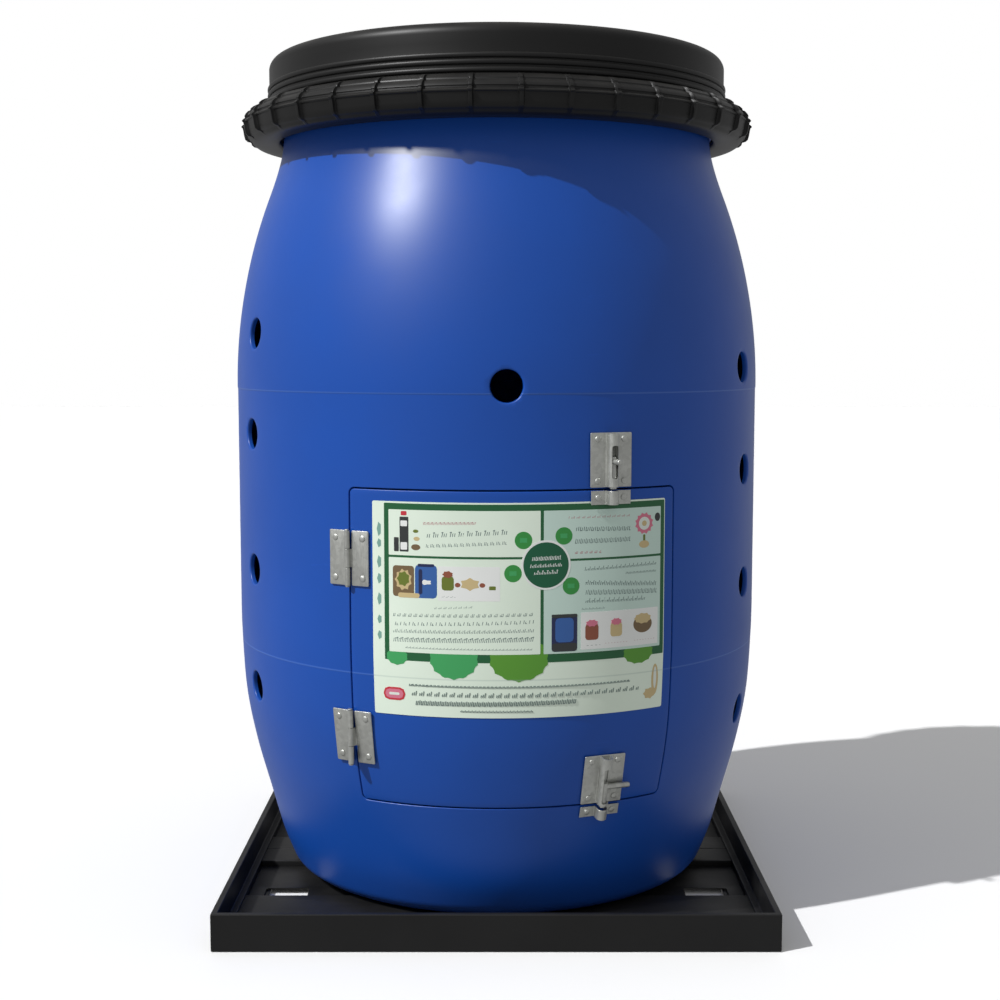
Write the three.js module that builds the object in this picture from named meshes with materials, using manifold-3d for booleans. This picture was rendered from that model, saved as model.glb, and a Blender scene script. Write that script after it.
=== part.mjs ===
// Upright composting drum on a square slatted base, with a hinged unloading door held by two slide bolts
// and a screw-down lid. Millimetres, +Z up. The origin is on the ground under the drum's axis, and the
// door faces -Y. An azimuth is in degrees about Z from -Y, positive towards +X.
import * as THREE from 'three';
import { mergeVertices } from 'three/addons/utils/BufferGeometryUtils.js';
import Module from 'manifold-3d';

const wasm = await Module();
wasm.setup();

// ---- driving dimensions ----
const FACETS = 48;              // sides of every large turned piece
const FIT = 0.3;                // gap left between pieces that rest on each other
const SEAT = 0.7;               // gap under a flat plate on the drum's faceted, curved skin

const BASE = { side: 600, height: 40.4, wall: 7, foot: 15, flange: 38, flangeThick: 4, deckTop: 13.3 };
const BOARD = { outerDepth: 119, middleDepth: 46 };
const PAN = { thick: 2, slotNear: 217, slotFar: 267, slotDepth: 38, slotFromBoard: 5 };

const DRUM = { radius: 307.2, wall: 5, bottom: BASE.deckTop + FIT, neck: 250, rim: 900 };
const SHOULDER = { start: 590, radius: 600, rise: 215 };
const VENT_RADIUS = 17;
const VENTS = [
  [2, 593], [-61.5, 647], [-63, 535.5], [-62.7, 383], [-63.8, 248],
  [63.6, 610], [65.8, 495], [66.4, 366], [68, 217],
];

const DOOR = { left: -29.9, right: 37.6, bottom: 150, top: 486.6, corner: 6, halfGap: 0.8 };
const LABEL = { left: -24.6, right: 35.2, bottom: 251, top: 474.5, corner: 2, thick: 0.4 };

const LID = { skirt: 266, bead: 268, flange: 276, seat: 903.4, flangeThick: 2, top: 962, wall: 4 };
const BEADS = [[910, 915.6], [917.8, 923.6], [924.8, 930.4]];
const GASKET = { inner: 243, outer: 252.5 };
const RING = { bore: 254, sleeve: 259, lipBore: 269.8, waist: 294, bottom: 866, top: 908 };
const RIBS = 36;
const RIB = { width: 3.6, proud: 4 };

const HINGE = { height: 58, leaf: 20.5, inset: 3.8, thick: 1.5, barrel: 3, bore: 1.9, pin: 1.5, gap: 0.5 };
const HINGE_HEIGHTS = { upper: 413, lower: 222 };
const HINGE_STANDOFF = { upper: 4.5, lower: 7 };

const BOLT = { azimuth: 22.5, rod: 3.6, rodHeight: 6.4, handle: 3, tunnel: 4.6, strap: 1.3, slot: 3.5 };
const BOLT_PLATE = { width: 46.7, thick: 1.2, rivetX: 15, edge: 6.5 };
const KEEPER = { width: 45, thick: 1.2, rivetX: 14.5 };
const UPPER_BOLT = {
  plateBottom: 488.7, plateTop: 545, tip: 487, handleAt: -1.5, raise: 13, drop: 14, keeperAt: 478.1, keeperTall: 14.4,
};
const LOWER_BOLT = {
  plateBottom: 151.5, plateTop: 205.5, tip: 148.9, handleAt: -7, raise: 19, drop: 14.5, keeperAt: 142, keeperTall: 12,
};

const RIVET = { head: 3.4, headHeight: 1.1, shank: 1.6, hole: 2.1, tail: 2.8, tailHeight: 1.2, sides: 8 };

// ---- materials ----
const material = (color, roughness, metalness) => new THREE.MeshStandardMaterial({ color, roughness, metalness });
const BLUE_PLASTIC = material(0x1f4fa8, 0.38, 0);
const BLACK_PLASTIC = material(0x232323, 0.5, 0);
const BLACK_STEEL = material(0x1b1b1b, 0.55, 0);
const ZINC = material(0xa9a9a4, 0.35, 0.9);
const RUBBER = material(0x151515, 0.8, 0);
const PAPER = material(0xd8efe2, 0.4, 0);

// ---- solids ----
const point = (x, y) => new THREE.Vector2(x, y);
const radians = THREE.MathUtils.degToRad;

// a closed mesh as a solid, turned right side out if its faces point in
function solidOf(geometry) {
  const bare = geometry.clone();
  bare.deleteAttribute('normal');
  bare.deleteAttribute('uv');
  const merged = mergeVertices(bare, 1e-4);
  const vertProperties = new Float32Array(merged.attributes.position.array);
  const corners = Array.from(merged.index.array);
  const kept = [];
  for (let i = 0; i < corners.length; i += 3) {
    const [a, b, c] = corners.slice(i, i + 3);
    if (a !== b && b !== c && c !== a) kept.push(a, b, c);
  }
  const make = (triVerts) => new wasm.Manifold(new wasm.Mesh({ numProp: 3, vertProperties, triVerts }));
  const solid = make(new Uint32Array(kept));
  if (solid.volume() > 0) return solid;
  return make(new Uint32Array(kept.reverse()));
}

function geometryOf(solid) {
  const { vertProperties, triVerts } = solid.getMesh();
  const geometry = new THREE.BufferGeometry();
  geometry.setAttribute('position', new THREE.BufferAttribute(new Float32Array(vertProperties), 3));
  geometry.setIndex(Array.from(triVerts));
  geometry.computeVertexNormals();
  return geometry;
}

const union = (first, ...rest) => rest.reduce((whole, next) => whole.add(next), first);
const cut = (first, ...rest) => rest.reduce((whole, next) => whole.subtract(next), first);

// a profile of [radius, height] points turned about Z
function turned(profile, sides = FACETS) {
  const points = profile.map(([radius, height]) => point(radius, height));
  return solidOf(new THREE.LatheGeometry(points, sides).rotateX(Math.PI / 2));
}

function boxBetween([x0, y0, z0], [x1, y1, z1]) {
  const geometry = new THREE.BoxGeometry(x1 - x0, y1 - y0, z1 - z0);
  return geometry.translate((x0 + x1) / 2, (y0 + y1) / 2, (z0 + z1) / 2);
}

const block = (low, high, frame = new THREE.Matrix4()) => solidOf(boxBetween(low, high).applyMatrix4(frame));

// a cylinder from y0 to y1 along the frame's Y axis, centred at (x, z)
function rodAlongY(radius, y0, y1, x, z, sides, frame = new THREE.Matrix4()) {
  const geometry = new THREE.CylinderGeometry(radius, radius, y1 - y0, sides);
  return solidOf(geometry.translate(x, (y0 + y1) / 2, z).applyMatrix4(frame));
}

// ---- the drum's surface ----
function drumOutline(fineness) {
  const { radius, bottom, neck, rim } = DRUM;
  const foot = new THREE.QuadraticBezierCurve(point(214, bottom), point(243, bottom), point(250, 32));
  const belly = new THREE.SplineCurve([
    point(250, 32), point(261.5, 62), point(275, 110), point(291.3, 170),
    point(302.3, 230), point(306.6, 300), point(radius, 345),
  ]);
  const sweep = Math.asin(SHOULDER.rise / SHOULDER.radius);
  const centre = point(radius - SHOULDER.radius, SHOULDER.start);
  const shoulder = new THREE.EllipseCurve(centre.x, centre.y, SHOULDER.radius, SHOULDER.radius, 0, sweep);
  const shoulderEnd = shoulder.getPoint(1);
  const throatTurn = point(neck, shoulderEnd.y + (shoulderEnd.x - neck) / Math.tan(sweep));
  const throat = new THREE.QuadraticBezierCurve(shoulderEnd, throatTurn, point(neck, 872));
  return [
    ...foot.getPoints(fineness),
    ...belly.getPoints(2 * fineness).slice(1),
    ...shoulder.getPoints(fineness + 2),
    ...throat.getPoints(fineness).slice(1),
    point(neck, rim),
  ].map(({ x, y }) => [x, y]);
}

const OUTLINE = drumOutline(4);
const INNER_OUTLINE = drumOutline(3);

function radiusAt(height) {
  const upper = OUTLINE.findIndex(([, z]) => z > height);
  const [r0, z0] = OUTLINE[upper - 1];
  const [r1, z1] = OUTLINE[upper];
  return r0 + (r1 - r0) * (height - z0) / (z1 - z0);
}

// a frame on the drum's skin: X to the right, Y up along the skin, Z out of it
function skinFrame(azimuth, height, slope = (radiusAt(height + 15) - radiusAt(height - 15)) / 30) {
  const angle = radians(azimuth);
  const outward = new THREE.Vector3(Math.sin(angle), -Math.cos(angle), 0);
  const right = new THREE.Vector3(Math.cos(angle), Math.sin(angle), 0);
  const up = outward.clone().multiplyScalar(slope).add(new THREE.Vector3(0, 0, 1)).normalize();
  const out = right.clone().cross(up);
  const at = outward.multiplyScalar(radiusAt(height)).add(new THREE.Vector3(0, 0, height));
  return new THREE.Matrix4().makeBasis(right, up, out).setPosition(at);
}

// a rounded panel of the drum's wall, as a block with radial sides: its outline is drawn on the
// unrolled skin and then wrapped about the axis
function wallBlock({ left, right, bottom, top, corner }, grow) {
  const x0 = radians(left) * DRUM.radius - grow;
  const x1 = radians(right) * DRUM.radius + grow;
  const z0 = bottom - grow;
  const z1 = top + grow;
  const r = corner + grow;
  const shape = new THREE.Shape();
  shape.absarc(x1 - r, z0 + r, r, -Math.PI / 2, 0);
  shape.absarc(x1 - r, z1 - r, r, 0, Math.PI / 2);
  shape.absarc(x0 + r, z1 - r, r, Math.PI / 2, Math.PI);
  shape.absarc(x0 + r, z0 + r, r, Math.PI, 1.5 * Math.PI);
  const inside = 240;
  const outside = 400;
  const geometry = new THREE.ExtrudeGeometry(shape, {
    depth: outside - inside, bevelEnabled: false, curveSegments: 3,
  });
  const positions = geometry.attributes.position;
  for (let i = 0; i < positions.count; i += 1) {
    const angle = positions.getX(i) / DRUM.radius;
    const radius = inside + positions.getZ(i);
    positions.setXYZ(i, radius * Math.sin(angle), -radius * Math.cos(angle), positions.getY(i));
  }
  return solidOf(geometry);
}

// ---- the pieces ----
const tumbler = new THREE.Group();

function addPiece(name, solid, finish, frame) {
  const mesh = new THREE.Mesh(geometryOf(solid), finish);
  mesh.name = name;
  if (frame) mesh.applyMatrix4(frame);
  tumbler.add(mesh);
}

// a rivet on a frame's Z axis at (x, y), its head on a plate whose top is at plateTop and its tail
// behind a wall that ends at wallBack; the hole for it goes through both
const rivetHoles = [];

function addRivet(name, frame, x, y, plateTop, wallBack) {
  const under = plateTop + FIT;
  const crown = under + RIVET.headHeight;
  const tailTop = wallBack - 0.9;
  const tailEnd = tailTop - RIVET.tailHeight;
  const profile = [
    [0, tailEnd], [RIVET.tail, tailEnd], [RIVET.tail, tailTop], [RIVET.shank, tailTop],
    [RIVET.shank, under], [RIVET.head, under], [RIVET.head * 0.75, under + RIVET.headHeight * 0.7], [0, crown],
  ];
  const place = frame.clone().multiply(new THREE.Matrix4().makeTranslation(x, y, 0));
  addPiece(name, turned(profile, RIVET.sides), ZINC, place);
  rivetHoles.push({ frame, x, y });
}

function rivetHole(x, y, frame) {
  const geometry = new THREE.CylinderGeometry(RIVET.hole, RIVET.hole, 40, RIVET.sides).rotateX(Math.PI / 2);
  return solidOf(geometry.translate(x, y, 0).applyMatrix4(frame ?? new THREE.Matrix4()));
}

const WALL_BACK = -DRUM.wall - 2;

// Base: a welded steel frame with a foot along each wall, four deck boards and two sunk floor pans.
function squareRing(outer, inner, height) {
  const shape = new THREE.Shape();
  const hole = new THREE.Path();
  for (const [path, half] of [[shape, outer / 2], [hole, inner / 2]]) {
    path.moveTo(-half, -half).lineTo(half, -half).lineTo(half, half).lineTo(-half, half).closePath();
  }
  shape.holes.push(hole);
  return solidOf(new THREE.ExtrudeGeometry(shape, { depth: height, bevelEnabled: false }));
}

function makeBase() {
  const { side, wall, foot, flange, flangeThick, height, deckTop } = BASE;
  addPiece('base_frame', union(
    squareRing(side, side - 2 * wall, height),
    squareRing(side, side - 2 * foot, deckTop),
    squareRing(side, side - 2 * flange, flangeThick),
  ), BLACK_STEEL);

  const reach = side / 2 - foot - FIT;
  const rest = flangeThick + FIT;
  const boards = [
    ['deck_board_front', -reach, -reach + BOARD.outerDepth],
    ['deck_board_middle_front', -BOARD.middleDepth, -FIT],
    ['deck_board_middle_rear', FIT, BOARD.middleDepth],
    ['deck_board_rear', reach - BOARD.outerDepth, reach],
  ];
  for (const [name, near, far] of boards) {
    addPiece(name, block([-reach, near, rest], [reach, far, deckTop]), BLACK_STEEL);
  }

  const panNear = BOARD.middleDepth + FIT;
  const panFar = reach - BOARD.outerDepth - FIT;
  for (const [name, sign] of [['floor_pan_front', -1], ['floor_pan_rear', 1]]) {
    const edges = [sign * panNear, sign * panFar].sort((a, b) => a - b);
    const sheet = block([-reach, edges[0], rest], [reach, edges[1], rest + PAN.thick]);
    const slotEdges = [
      sign * (panFar - PAN.slotFromBoard),
      sign * (panFar - PAN.slotFromBoard - PAN.slotDepth),
    ].sort((a, b) => a - b);
    const slots = [-1, 1].map((x) => {
      const ends = [x * PAN.slotNear, x * PAN.slotFar].sort((a, b) => a - b);
      return block([ends[0], slotEdges[0], 0], [ends[1], slotEdges[1], deckTop]);
    });
    addPiece(name, cut(sheet, ...slots), BLACK_STEEL);
  }
}

// Hinges: two butt hinges whose barrels share one straight axis that leans with the drum's skin.
function hingeAxisFrame(height) {
  const topRadius = radiusAt(HINGE_HEIGHTS.upper) + HINGE_STANDOFF.upper;
  const lowRadius = radiusAt(HINGE_HEIGHTS.lower) + HINGE_STANDOFF.lower;
  const lean = (topRadius - lowRadius) / (HINGE_HEIGHTS.upper - HINGE_HEIGHTS.lower);
  const frame = skinFrame(DOOR.left, height, lean);
  const standoff = lowRadius + lean * (height - HINGE_HEIGHTS.lower) - radiusAt(height);
  const outward = skinFrame(DOOR.left, height, 0);
  const shift = new THREE.Vector3().setFromMatrixColumn(outward, 2).multiplyScalar(standoff);
  return new THREE.Matrix4().makeTranslation(shift.x, shift.y, shift.z).multiply(frame);
}

function hingeLeaf(height, side, knuckles) {
  const axis = hingeAxisFrame(height);
  const leafTurn = Math.sign(side) * THREE.MathUtils.radToDeg((HINGE.leaf / 2 + HINGE.inset) / DRUM.radius);
  const leafFrame = skinFrame(DOOR.left + leafTurn, height);
  const half = HINGE.height / 2;
  const plate = block(
    [-HINGE.leaf / 2, -half, SEAT],
    [HINGE.leaf / 2, half, SEAT + HINGE.thick],
    leafFrame,
  );
  const axisRadius = (z) => Math.hypot(...hingeAxisFrame(z).elements.slice(12, 14));
  const parts = knuckles.flatMap(([low, high]) => {
    const middle = height + (low + high) / 2;
    const drop = axisRadius(middle) - radiusAt(middle) - SEAT - 1.25;
    const web = [side * 2, side * (HINGE.inset + 1.4)].sort((a, b) => a - b);
    return [
      rodAlongY(HINGE.barrel, low, high, 0, 0, 12, axis),
      block([web[0], low, -drop], [web[1], high, 0], axis),
    ];
  });
  const bore = rodAlongY(HINGE.bore, -half - 5, half + 5, 0, 0, 12, axis);
  const riveted = [-1, 1].map((end) => rivetHole(side * 3, end * (half - 8), leafFrame));
  return { leaf: cut(union(plate, ...parts), bore, ...riveted), leafFrame };
}

function makeHinge(where) {
  const height = HINGE_HEIGHTS[where];
  const half = HINGE.height / 2;
  const third = HINGE.height / 6;
  const outer = [[-half, -third - HINGE.gap], [third + HINGE.gap, half]];
  const inner = [[-third, third]];
  const leaves = [['drum', -1, outer], ['door', 1, inner]];
  for (const [onto, side, knuckles] of leaves) {
    const { leaf, leafFrame } = hingeLeaf(height, side, knuckles);
    addPiece(`hinge_${where}_${onto}_leaf`, leaf, ZINC);
    for (const [label, end] of [['top', 1], ['bottom', -1]]) {
      const name = `rivet_hinge_${where}_${onto}_${label}`;
      addRivet(name, leafFrame, side * 3, end * (half - 8), SEAT + HINGE.thick, WALL_BACK);
    }
  }
  const end = half + FIT;
  const pin = [
    [0, -end - 1.2], [2.4, -end - 1.2], [2.4, -end], [HINGE.pin, -end],
    [HINGE.pin, end], [2.4, end], [2.4, end + 1.2], [0, end + 1.2],
  ];
  const upright = new THREE.Matrix4().makeRotationX(-Math.PI / 2);
  addPiece(`hinge_${where}_pin`, turned(pin, 12), ZINC, hingeAxisFrame(height).multiply(upright));
}

// Slide bolts: a plate with a slotted channel, a round bolt with a handle, and a keeper beyond the door's gap.
function channel(low, high, rodHeight, frame) {
  const outer = BOLT.tunnel + BOLT.strap;
  const shape = new THREE.Shape();
  shape.moveTo(outer, 0.9);
  shape.absarc(0, rodHeight, outer, 0, Math.PI, false);
  shape.lineTo(-outer, 0.9);
  shape.lineTo(-BOLT.tunnel, 0.9);
  shape.absarc(0, rodHeight, BOLT.tunnel, Math.PI, 0, true);
  shape.lineTo(BOLT.tunnel, 0.9);
  const geometry = new THREE.ExtrudeGeometry(shape, { depth: high - low, bevelEnabled: false, curveSegments: 6 });
  return solidOf(geometry.rotateX(Math.PI / 2).translate(0, high, 0).applyMatrix4(frame));
}

function makeBolt(where, bolt, keeperLift, handleToSide) {
  const middle = (bolt.plateBottom + bolt.plateTop) / 2;
  const frame = skinFrame(BOLT.azimuth, middle);
  const rise = frame.elements[6];
  const half = (bolt.plateTop - middle) / rise;
  const plateTop = SEAT + BOLT_PLATE.thick;
  const local = new THREE.Matrix4();
  const width = BOLT_PLATE.width / 2;
  const { slot, rodHeight } = BOLT;
  const slotLow = bolt.handleAt - bolt.drop - slot;
  const slotHigh = bolt.handleAt + bolt.raise + slot;
  const slotRight = handleToSide ? 12 : slot;
  const slotUnder = handleToSide ? rodHeight - slot : rodHeight;
  const slotCut = block([-slot, slotLow, slotUnder], [slotRight, slotHigh, rodHeight + 12]);
  const housing = cut(channel(-half + 0.6, half - 0.6, rodHeight, local), slotCut);
  const corners = [['top', 1], ['bottom', -1]].flatMap(([row, end]) => (
    [['left', -1], ['right', 1]].map(([column, side]) => (
      { label: `${row}_${column}`, x: side * BOLT_PLATE.rivetX, y: end * (half - BOLT_PLATE.edge) }
    ))
  ));
  const plate = union(block([-width, -half, SEAT], [width, half, plateTop]), housing);
  const holes = corners.map(({ x, y }) => rivetHole(x, y));
  addPiece(`bolt_${where}_plate`, cut(plate, ...holes), ZINC, frame);
  for (const { label, x, y } of corners) {
    addRivet(`rivet_bolt_${where}_${label}`, frame, x, y, plateTop, WALL_BACK);
  }

  const tip = (bolt.tip - middle) / rise;
  const rod = rodAlongY(BOLT.rod, tip, bolt.handleAt + BOLT.handle + 2, 0, BOLT.rodHeight, 16);
  const handle = new THREE.CylinderGeometry(BOLT.handle, BOLT.handle, handleToSide ? 29 : 17, 10);
  if (handleToSide) handle.rotateZ(Math.PI / 2).translate(14.5, bolt.handleAt, BOLT.rodHeight);
  else handle.rotateX(Math.PI / 2).translate(0, bolt.handleAt, BOLT.rodHeight + 8.5);
  addPiece(`bolt_${where}_rod`, union(rod, solidOf(handle)), ZINC, frame);

  const keeperFrame = skinFrame(BOLT.azimuth, bolt.keeperAt);
  const alongRod = new THREE.Vector3(0, (bolt.keeperAt - middle) / rise, BOLT.rodHeight);
  const centre = alongRod.applyMatrix4(frame).applyMatrix4(keeperFrame.clone().invert());
  const keeperHalf = bolt.keeperTall / 2;
  const keeperTop = keeperLift + KEEPER.thick;
  const keeper = union(
    block([-KEEPER.width / 2, -keeperHalf, keeperLift], [KEEPER.width / 2, keeperHalf, keeperTop]),
    channel(-keeperHalf, keeperHalf, centre.z, local),
  );
  const keeperHoles = [-1, 1].map((side) => rivetHole(side * KEEPER.rivetX, 0));
  addPiece(`keeper_${where}`, cut(keeper, ...keeperHoles), ZINC, keeperFrame);
  for (const [label, side] of [['left', -1], ['right', 1]]) {
    addRivet(`rivet_keeper_${where}_${label}`, keeperFrame, side * KEEPER.rivetX, 0, keeperTop, WALL_BACK);
  }
}

// Drum, door and label: the drum and the door are cut from one moulded shell.
function makeShells() {
  const { wall, bottom, neck, rim } = DRUM;
  const inner = INNER_OUTLINE.filter(([, z]) => z > bottom + wall && z < rim).map(([r, z]) => [r - wall, z]);
  const shell = turned([
    [0, bottom], ...OUTLINE,
    [neck - wall, rim], ...inner.reverse(), [OUTLINE[0][0] - wall, bottom + wall], [0, bottom + wall],
  ]);
  const vents = VENTS.map(([azimuth, height]) => {
    const bore = new THREE.CylinderGeometry(VENT_RADIUS, VENT_RADIUS, 40, 20).rotateX(Math.PI / 2);
    return solidOf(bore.applyMatrix4(skinFrame(azimuth, height)));
  });
  const holes = rivetHoles.map(({ frame, x, y }) => rivetHole(x, y, frame));
  const pierced = cut(shell, ...vents, ...holes);
  addPiece('drum_shell', pierced.subtract(wallBlock(DOOR, DOOR.halfGap)), BLUE_PLASTIC);
  addPiece('door_panel', pierced.intersect(wallBlock(DOOR, -DOOR.halfGap)), BLUE_PLASTIC);

  const backed = OUTLINE.filter(([, z]) => z > LABEL.bottom - 60 && z < LABEL.top + 200);
  const front = backed.map(([r, z]) => [r + FIT + LABEL.thick, z]);
  const back = backed.map(([r, z]) => [r + FIT, z]).reverse();
  const sleeve = turned([...front, ...back, front[0]]);
  addPiece('label_panel', sleeve.intersect(wallBlock(LABEL, 0)), PAPER);
}

// Lid: a domed cap whose flange is clamped on a gasket by the ribbed screw ring.
function makeLid() {
  const { skirt, bead, flange, seat, flangeThick, top, wall } = LID;
  const shoulder = new THREE.EllipseCurve(skirt - 12, top - 12, 12, 12, 0, Math.PI / 2).getPoints(3);
  const beads = BEADS.flatMap(([low, high]) => [
    [skirt, low], [bead, low + 1.6], [bead, high - 1.6], [skirt, high],
  ]);
  const flangeTop = seat + flangeThick;
  const dish = top - 5;
  addPiece('lid_cap', turned([
    [0, dish - wall], [skirt - 16, dish - wall], [skirt - wall, dish - 14], [skirt - wall, flangeTop],
    [242, flangeTop], [242, seat], [flange, seat], [flange, flangeTop], [skirt, flangeTop],
    ...beads,
    ...shoulder.map(({ x, y }) => [x, y]),
    [236, top], [228, dish], [0, dish],
  ]), BLACK_PLASTIC);

  const gasketLow = DRUM.rim + FIT;
  const gasketHigh = seat - FIT;
  const section = [
    [GASKET.inner, gasketLow], [GASKET.outer, gasketLow], [GASKET.outer, gasketHigh],
    [GASKET.inner, gasketHigh], [GASKET.inner, gasketLow],
  ];
  addPiece('lid_gasket', turned(section), RUBBER);
}

function makeRing() {
  const { bore, sleeve, lipBore, waist, bottom, top } = RING;
  const lipUnder = LID.seat + LID.flangeThick + FIT;
  const body = turned([
    [bore, bottom + 4], [bore + 4, bottom], [waist - 9, bottom], [waist - 2, bottom + 8], [waist, 888],
    [waist - 2, 897], [waist - 9, 903.5], [277, top - 0.6], [lipBore, top], [lipBore, lipUnder],
    [279, lipUnder], [waist - 7, 896], [waist - 7, bottom + 5], [sleeve, bottom + 5],
    [sleeve, 899.5], [bore, 899.5], [bore, bottom + 4],
  ], RIBS);
  const { proud, width } = RIB;
  const outline = [
    [277, top + 0.4], [waist - 8 + proud, 904.8], [waist - 1 + proud, 897], [waist + proud, 888],
    [waist - 2 + proud, bottom + 6], [waist - 8 + proud, bottom - 1], [waist - 4, bottom + 10],
    [waist - 4, 894], [277, top - 2],
  ];
  const shape = new THREE.Shape(outline.map(([r, z]) => point(r, z)));
  const blade = new THREE.ExtrudeGeometry(shape, { depth: width, bevelEnabled: false });
  blade.translate(0, 0, -width / 2).rotateX(Math.PI / 2);
  const ribs = Array.from({ length: RIBS }, (_, i) => (
    solidOf(blade.clone().rotateZ(((i + 0.5) * 2 * Math.PI) / RIBS))
  ));
  addPiece('lock_ring', union(body, ...ribs), BLACK_PLASTIC);
}

makeBase();
makeHinge('upper');
makeHinge('lower');
makeBolt('upper', UPPER_BOLT, FIT + LABEL.thick + FIT, false);
makeBolt('lower', LOWER_BOLT, SEAT, true);
makeShells();
makeLid();
makeRing();

export default tumbler;
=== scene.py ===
"""An upright composting drum on a square slatted base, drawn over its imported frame.

Every round piece is a profile turned about the drum's axis, every plate follows a frame on the
drum's skin, and every sheet fitting is a bent strip. Metres outside, millimetres inside the helpers.
"""
import math

import bmesh
import bpy
import numpy as np
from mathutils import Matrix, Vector


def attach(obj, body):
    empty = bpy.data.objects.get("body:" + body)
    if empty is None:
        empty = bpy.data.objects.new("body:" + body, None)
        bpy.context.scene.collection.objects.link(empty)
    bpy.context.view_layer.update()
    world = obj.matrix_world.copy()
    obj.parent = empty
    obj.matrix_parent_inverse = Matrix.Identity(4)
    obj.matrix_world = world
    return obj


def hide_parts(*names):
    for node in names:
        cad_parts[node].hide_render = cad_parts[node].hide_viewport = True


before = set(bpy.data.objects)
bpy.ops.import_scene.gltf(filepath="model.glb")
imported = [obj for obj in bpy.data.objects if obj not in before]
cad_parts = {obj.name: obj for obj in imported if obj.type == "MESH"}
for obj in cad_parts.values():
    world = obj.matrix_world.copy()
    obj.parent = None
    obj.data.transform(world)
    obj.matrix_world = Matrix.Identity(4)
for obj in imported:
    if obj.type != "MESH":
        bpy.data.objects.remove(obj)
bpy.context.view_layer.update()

bl_info = {
    "name": "Composting Drum",
    "version": (1, 0, 0),
    "blender": (4, 5, 0),
    "location": "View3D > Sidebar > Compost",
    "description": "Builds a composting drum with its door, lid, fittings and base",
    "category": "Add Mesh",
}

MM = 0.001
WALL = 5.0
DOOR_LEFT = -29.9
DOOR_RIGHT = 37.6
DOOR_BOTTOM = 150.0
DOOR_TOP = 486.6
DOOR_CORNER = 6.0
VENTS = (
    (2, 593), (-61.5, 647), (-63, 535.5), (-62.7, 383), (-63.8, 248),
    (63.6, 610), (65.8, 495), (66.4, 366), (68, 217),
)
BELLY = 307.2
HINGES = {"upper": 413.0, "lower": 222.0}
HINGE_STANDOFF = {"upper": 4.5, "lower": 7.0}
HINGE_LEAF = 20.5
HINGE_TALL = 58.0
BOLT_AZIMUTH = 22.5
BOLT_HEIGHT = 6.4
SLOT = 3.5
PLATE_SEAT = 0.7
HINGE_PLATE_TOP = 2.2
BOLT_PLATE_TOP = 1.9
BOLT_PLATE_WIDTH = 46.7
BOLT_RIVET_X = 15
BOLT_RIVET_EDGE = 6.5
KEEPER_RIVET_X = 14.5
KEEPER_THICK = 1.2
ROD_RADIUS = 3.6
HANDLE_RADIUS = 3
PIN_RADIUS = 1.5
PIN_HEAD = 2.4
RIVET_HEAD = 3.4
RIVET_SHANK = 1.6
RIVET_TAIL = 2.8
BASE_HALF = 300
DECK_WIDTH = 569.4
DECK_LOW = 4.3
DECK_TOP = 13.3
RING_RIBS = 36
BOLTS = {
    "upper": {"bottom": 488.7, "top": 545.0, "tip": 487.0, "handle": -1.5, "raise": 13.0, "drop": 14.0,
              "keeper": 478.1, "tall": 14.4, "lift": 1.0},
    "lower": {"bottom": 151.5, "top": 205.5, "tip": 148.9, "handle": -7.0, "raise": 19.0, "drop": 14.5,
              "keeper": 142.0, "tall": 12.0, "lift": 0.7},
}


# ---- numpy surfaces ----
def turned(profile, sides=192):
    """Points (radius, height) of a profile, each carried round the Z axis in equal steps."""
    radius, height = np.asarray(profile, float).T
    angle = np.linspace(0, 2 * np.pi, sides, endpoint=False)
    x = radius[:, None] * np.sin(angle)
    y = -radius[:, None] * np.cos(angle)
    z = np.repeat(height[:, None], sides, axis=1)
    return np.stack([x, y, z], axis=-1)


def bezier(start, control, end, count):
    """A quadratic curve: (1-t)^2 start + 2t(1-t) control + t^2 end."""
    t = np.linspace(0, 1, count)[:, None]
    start, control, end = (np.array(p, float) for p in (start, control, end))
    return (1 - t) ** 2 * start + 2 * t * (1 - t) * control + t**2 * end


def arc(centre, radius, first, last, count):
    """Points at equal angles in degrees on a circle about centre."""
    angle = np.radians(np.linspace(first, last, count))
    return np.stack([centre[0] + radius * np.cos(angle), centre[1] + radius * np.sin(angle)], axis=1)


def through(points, steps):
    """A Catmull-Rom curve: between two points, the cubic whose end slopes are half the neighbours' gap."""
    p = np.asarray(points, float)
    p = np.vstack([p[0], p, p[-1]])
    t = np.linspace(0, 1, steps, endpoint=False)[:, None]
    spans = []
    for a, b, c, d in zip(p, p[1:], p[2:], p[3:]):
        v0 = (c - a) / 2
        v1 = (d - b) / 2
        spans.append((2 * b - 2 * c + v0 + v1) * t**3 + (-3 * b + 3 * c - 2 * v0 - v1) * t**2 + v0 * t + b)
    return np.vstack(spans + [p[-1:]])


def rounded(width, height, corner, arc_steps=6, edge_steps=1):
    """A rectangle with round corners, anticlockwise: four quarter circles joined by divided edges."""
    x, y = width / 2 - corner, height / 2 - corner
    corners = [arc(c, corner, a, a + 90, arc_steps) for c, a in
               (((x, -y), -90), ((x, y), 0), ((-x, y), 90), ((-x, -y), 180))]
    pieces = []
    for here, after in zip(corners, corners[1:] + corners[:1]):
        pieces.append(here)
        t = np.linspace(0, 1, edge_steps + 1)[1:-1, None]
        pieces.append(here[-1] + (after[0] - here[-1]) * t)
    return np.vstack(pieces)


def outward(outline):
    """Unit normals of a closed anticlockwise outline, square to the chord between its neighbours."""
    chord = np.roll(outline, -1, axis=0) - np.roll(outline, 1, axis=0)
    normal = np.stack([chord[:, 1], -chord[:, 0]], axis=1)
    return normal / np.linalg.norm(normal, axis=1, keepdims=True)


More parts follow.
